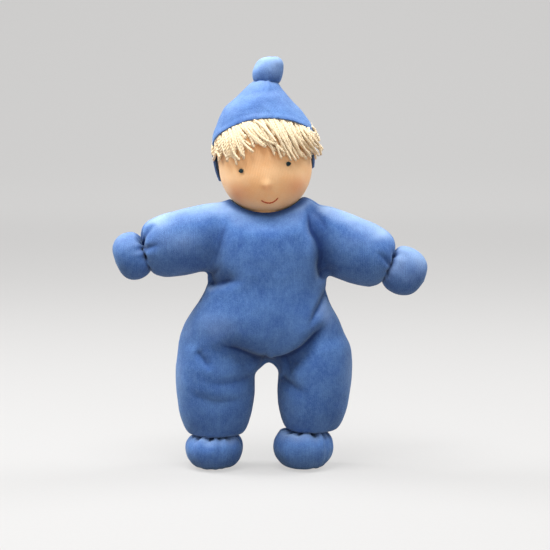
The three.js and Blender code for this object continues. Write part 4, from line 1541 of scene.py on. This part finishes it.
@dataclass
class Fringe(Part):
    """The yarn fringe, sewn under the hat's edge and lying over the forehead.

    A layer has its count of strands, their reach and how far they are sunk. A guide strand has its root
    across and up, its tip across and up, and its lift.
    """

    head: Head
    layers: tuple[tuple[int, float, float], ...] = ((64, 1.0, 0.0), (58, 0.62, 0.9))
    clumps: int = 17
    yarn: float = 1.12
    guides: tuple[tuple[float, ...], ...] = (
        (-28.6, 21.6, -33.2, 15.6, 2.0),
        (-27.8, 23.0, -32.2, 10.4, 2.2),
        (-26.8, 24.4, -29.8, 9.6, 2.2),
        (-25.0, 25.8, -25.4, 10.1, 2.2),
        (-23.0, 27.0, -21.5, 7.4, 2.1),
        (-20.5, 28.8, -19.0, 7.6, 2.2),
        (-18.5, 29.8, -13.6, 8.6, 2.0),
        (-16.5, 30.4, -9.5, 12.8, 2.0),
        (-14.2, 31.4, -2.6, 14.6, 2.4),
        (-11.5, 32.0, 0.5, 16.2, 2.8),
        (-9.5, 32.4, 6.5, 15.4, 2.8),
        (-7.0, 32.8, 9.5, 14.6, 2.6),
        (-4.0, 33.0, 6.4, 7.4, 2.0),
        (-1.5, 33.1, 11.6, 7.0, 2.2),
        (1.5, 33.1, 13.0, 10.5, 2.4),
        (5.0, 33.0, 17.6, 5.0, 2.6),
        (8.5, 32.6, 19.8, 4.6, 2.8),
        (12.0, 30.8, 22.6, 4.4, 3.0),
        (15.5, 29.6, 26.2, 2.4, 3.4),
        (19.0, 28.4, 30.0, 2.0, 3.8),
        (22.5, 27.2, 33.4, 1.6, 4.4),
        (25.5, 26.2, 36.8, 2.6, 5.2),
        (28.0, 24.6, 39.0, 5.2, 6.0),
        (30.0, 23.6, 39.4, 9.0, 6.4),
        (30.8, 22.4, 38.9, 13.6, 6.0),
    )

    def path(self, place: float, reach: float, sink: float, jitter: np.ndarray) -> np.ndarray:
        """The way of one strand over the forehead.

        Args:
            place: from 0 at the first guide to 1 at the last.
            reach: its length as a share of its guide's.
            sink: how far below the upper strands it lies.
            jitter: small random numbers that make it unlike its neighbours.

        Returns:
            Places in the head's frame, from under the hat's edge to the cut end.
        """
        at = place * (len(self.guides) - 1)
        row = np.array([np.interp(at, np.arange(len(self.guides)), column) for column in zip(*self.guides)])
        root = row[:2] + (0.6 * jitter[0], 3.0 + 1.2 * jitter[1])
        direction = reach * (row[2:4] + (1.6 * jitter[2], 1.0 + 3.0 * jitter[3]) - root)
        lift = row[4] - sink + 1.0 * jitter[4]
        root_lift = min(1.8 + 0.3 * row[4], 2.8) - 0.5 * sink
        shares = np.linspace(0, 1, 22)
        side = np.array([-direction[1], direction[0]]) / max(np.linalg.norm(direction), 1.0)
        sway = 2.4 * jitter[5] * np.sin(shares * math.pi) + 0.7 * jitter[2] * np.sin(shares * 2.2 * math.pi)
        flat = root + shares[:, None] * direction + sway[:, None] * side
        risen = np.sin(np.minimum(shares * 1.35, 1) * math.pi / 2)
        lifts = root_lift + (lift - root_lift) * risen + 0.6 * jitter[6] * shares**2
        points = []
        for (across, height), rise in zip(flat, lifts):
            wide = self.head.skin_radius(height) + rise
            past = abs(across) - wide
            depth = -0.2 * past if past >= 0 else math.sqrt(wide**2 - across**2)
            points.append((across, -depth - 0.2, height))
        return np.array(points)

    def build(self, doll: Doll) -> None:
        """Builds the fringe."""
        picked = np.random.default_rng(7)
        strands = []
        for count, reach, sink in self.layers:
            for number in range(count):
                place = (number + 0.5) / count + picked.uniform(-0.4, 0.4) / count
                middle = (math.floor(place * self.clumps) + 0.5) / self.clumps
                place += 0.4 * reach * (middle - place)
                path = self.path(min(max(place, 0.0), 1.0), reach, sink, picked.uniform(-1, 1, 7))
                radius = self.yarn * picked.uniform(0.85, 1.12)
                strands += plies(path, radius, lay=4.2, sides=6, start=picked.uniform(0, FULL_TURN))
        mesh = mesh_of(joined(strands), "fringe")
        mesh.transform(self.head.frame())
        doll.add("fringe_yarn", mesh, Slot.YARN, "head", ("hair_fringe",))


# The studio


@dataclass
class Studio:
    """Floor, light and camera, in metres. A lamp has its name, place, size and watts."""

    distance: float = 1.2
    elevation: float = 6.0
    aim: Triple = (0.003, 0.0, 0.1322)
    lens: float = 77.0
    sensor: float = 24.0
    ground: Triple = (0.69, 0.685, 0.68)
    half_wide: float = 3.0
    paper: tuple[Pair, ...] = ((-2.5, 0.0), (1.2, 0.0), (1.9, 0.12), (2.3, 0.5), (2.45, 1.1), (2.5, 2.6))
    lamps: tuple[tuple[str, Triple, float, float], ...] = (
        ("key", (-0.12, -0.3, 1.05), 0.6, 13.5),
        ("side", (-0.9, 0.25, 1.0), 0.6, 16.0),
        ("other_side", (0.9, 0.3, 1.1), 0.6, 13.0),
        ("fill", (0.35, -1.65, 0.55), 1.4, 8.0),
    )
    world_colour: Quad = (1.0, 0.985, 0.97, 1.0)
    world_level: float = 0.3
    seen_level: float = 0.64

    def aimed(self, name: str, data: bpy.types.ID, place: Sequence[float]) -> bpy.types.Object:
        """Returns a camera or a lamp at a place, turned to the doll."""
        item = bpy.data.objects.new(name, data)
        item.location = place
        item.rotation_euler = (Vector(self.aim) - Vector(place)).to_track_quat("-Z", "Y").to_euler()
        bpy.context.scene.collection.objects.link(item)
        return item

    def camera(self) -> None:
        """Adds the camera at the photograph's viewing angle."""
        data = bpy.data.cameras.new("camera")
        data.sensor_width = self.sensor
        data.lens = self.lens
        angle = math.radians(self.elevation)
        place = Vector(self.aim) + self.distance * Vector((0, -math.cos(angle), math.sin(angle)))
        bpy.context.scene.camera = self.aimed("camera", data, place)

    def floor(self) -> None:
        """Adds the pale paper, curved up behind."""
        bm = bmesh.new()
        verts = [bm.verts.new((-self.half_wide, y, max(z, 0.0))) for y, z in spline(self.paper, 60)]
        edges = [bm.edges.new(pair) for pair in zip(verts, verts[1:])]
        made = bmesh.ops.extrude_edge_only(bm, edges=edges)
        moved = [item for item in made["geom"] if isinstance(item, bmesh.types.BMVert)]
        bmesh.ops.translate(bm, verts=moved, vec=(2 * self.half_wide, 0, 0))
        bmesh.ops.recalc_face_normals(bm, faces=bm.faces)
        mesh = mesh_of(bm, "paper")
        if mesh.polygons[0].normal.z < 0:
            mesh.flip_normals()
        mesh.shade_smooth()
        mesh.materials.append(StudioPaper("studio_paper", self.ground).build())
        paper = bpy.data.objects.new("paper", mesh)
        bpy.context.scene.collection.objects.link(paper)

    def light(self) -> None:
        """Adds the soft lamps."""
        for name, place, size, watts in self.lamps:
            data = bpy.data.lights.new(name, "AREA")
            data.shape = "DISK"
            data.size = size
            data.energy = watts
            self.aimed(name, data, place)

    def world(self) -> None:
        """Adds the even light all round, which looks as pale as the paper to the camera."""
        world = bpy.data.worlds.new("studio")
        world.use_nodes = True
        tree = world.node_tree
        is_seen = tree.nodes.new("ShaderNodeLightPath").outputs["Is Camera Ray"]
        level = tree.nodes.new("ShaderNodeMapRange")
        level.inputs["To Min"].default_value = self.world_level
        level.inputs["To Max"].default_value = self.seen_level
        tree.links.new(is_seen, level.inputs["Value"])
        background = tree.nodes["Background"]
        background.inputs["Color"].default_value = self.world_colour
        tree.links.new(level.outputs["Result"], background.inputs["Strength"])
        bpy.context.scene.world = world

    def build(self) -> None:
        """Sets up the studio."""
        self.camera()
        self.floor()
        self.light()
        self.world()
        bpy.context.scene.view_settings.view_transform = "Standard"


def main() -> None:
    """Builds the studio and the doll."""
    logging.basicConfig(level=logging.INFO, format="%(name)s: %(message)s")
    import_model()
    Studio().build()
    doll, head = Doll(), Head()
    for part in (Suit(), *tied_ends(), head, Hat(head), Fringe(head)):
        part.build(doll)
    log.info("%d pieces", len(doll.pieces))


if __name__ == "__main__":
    main()
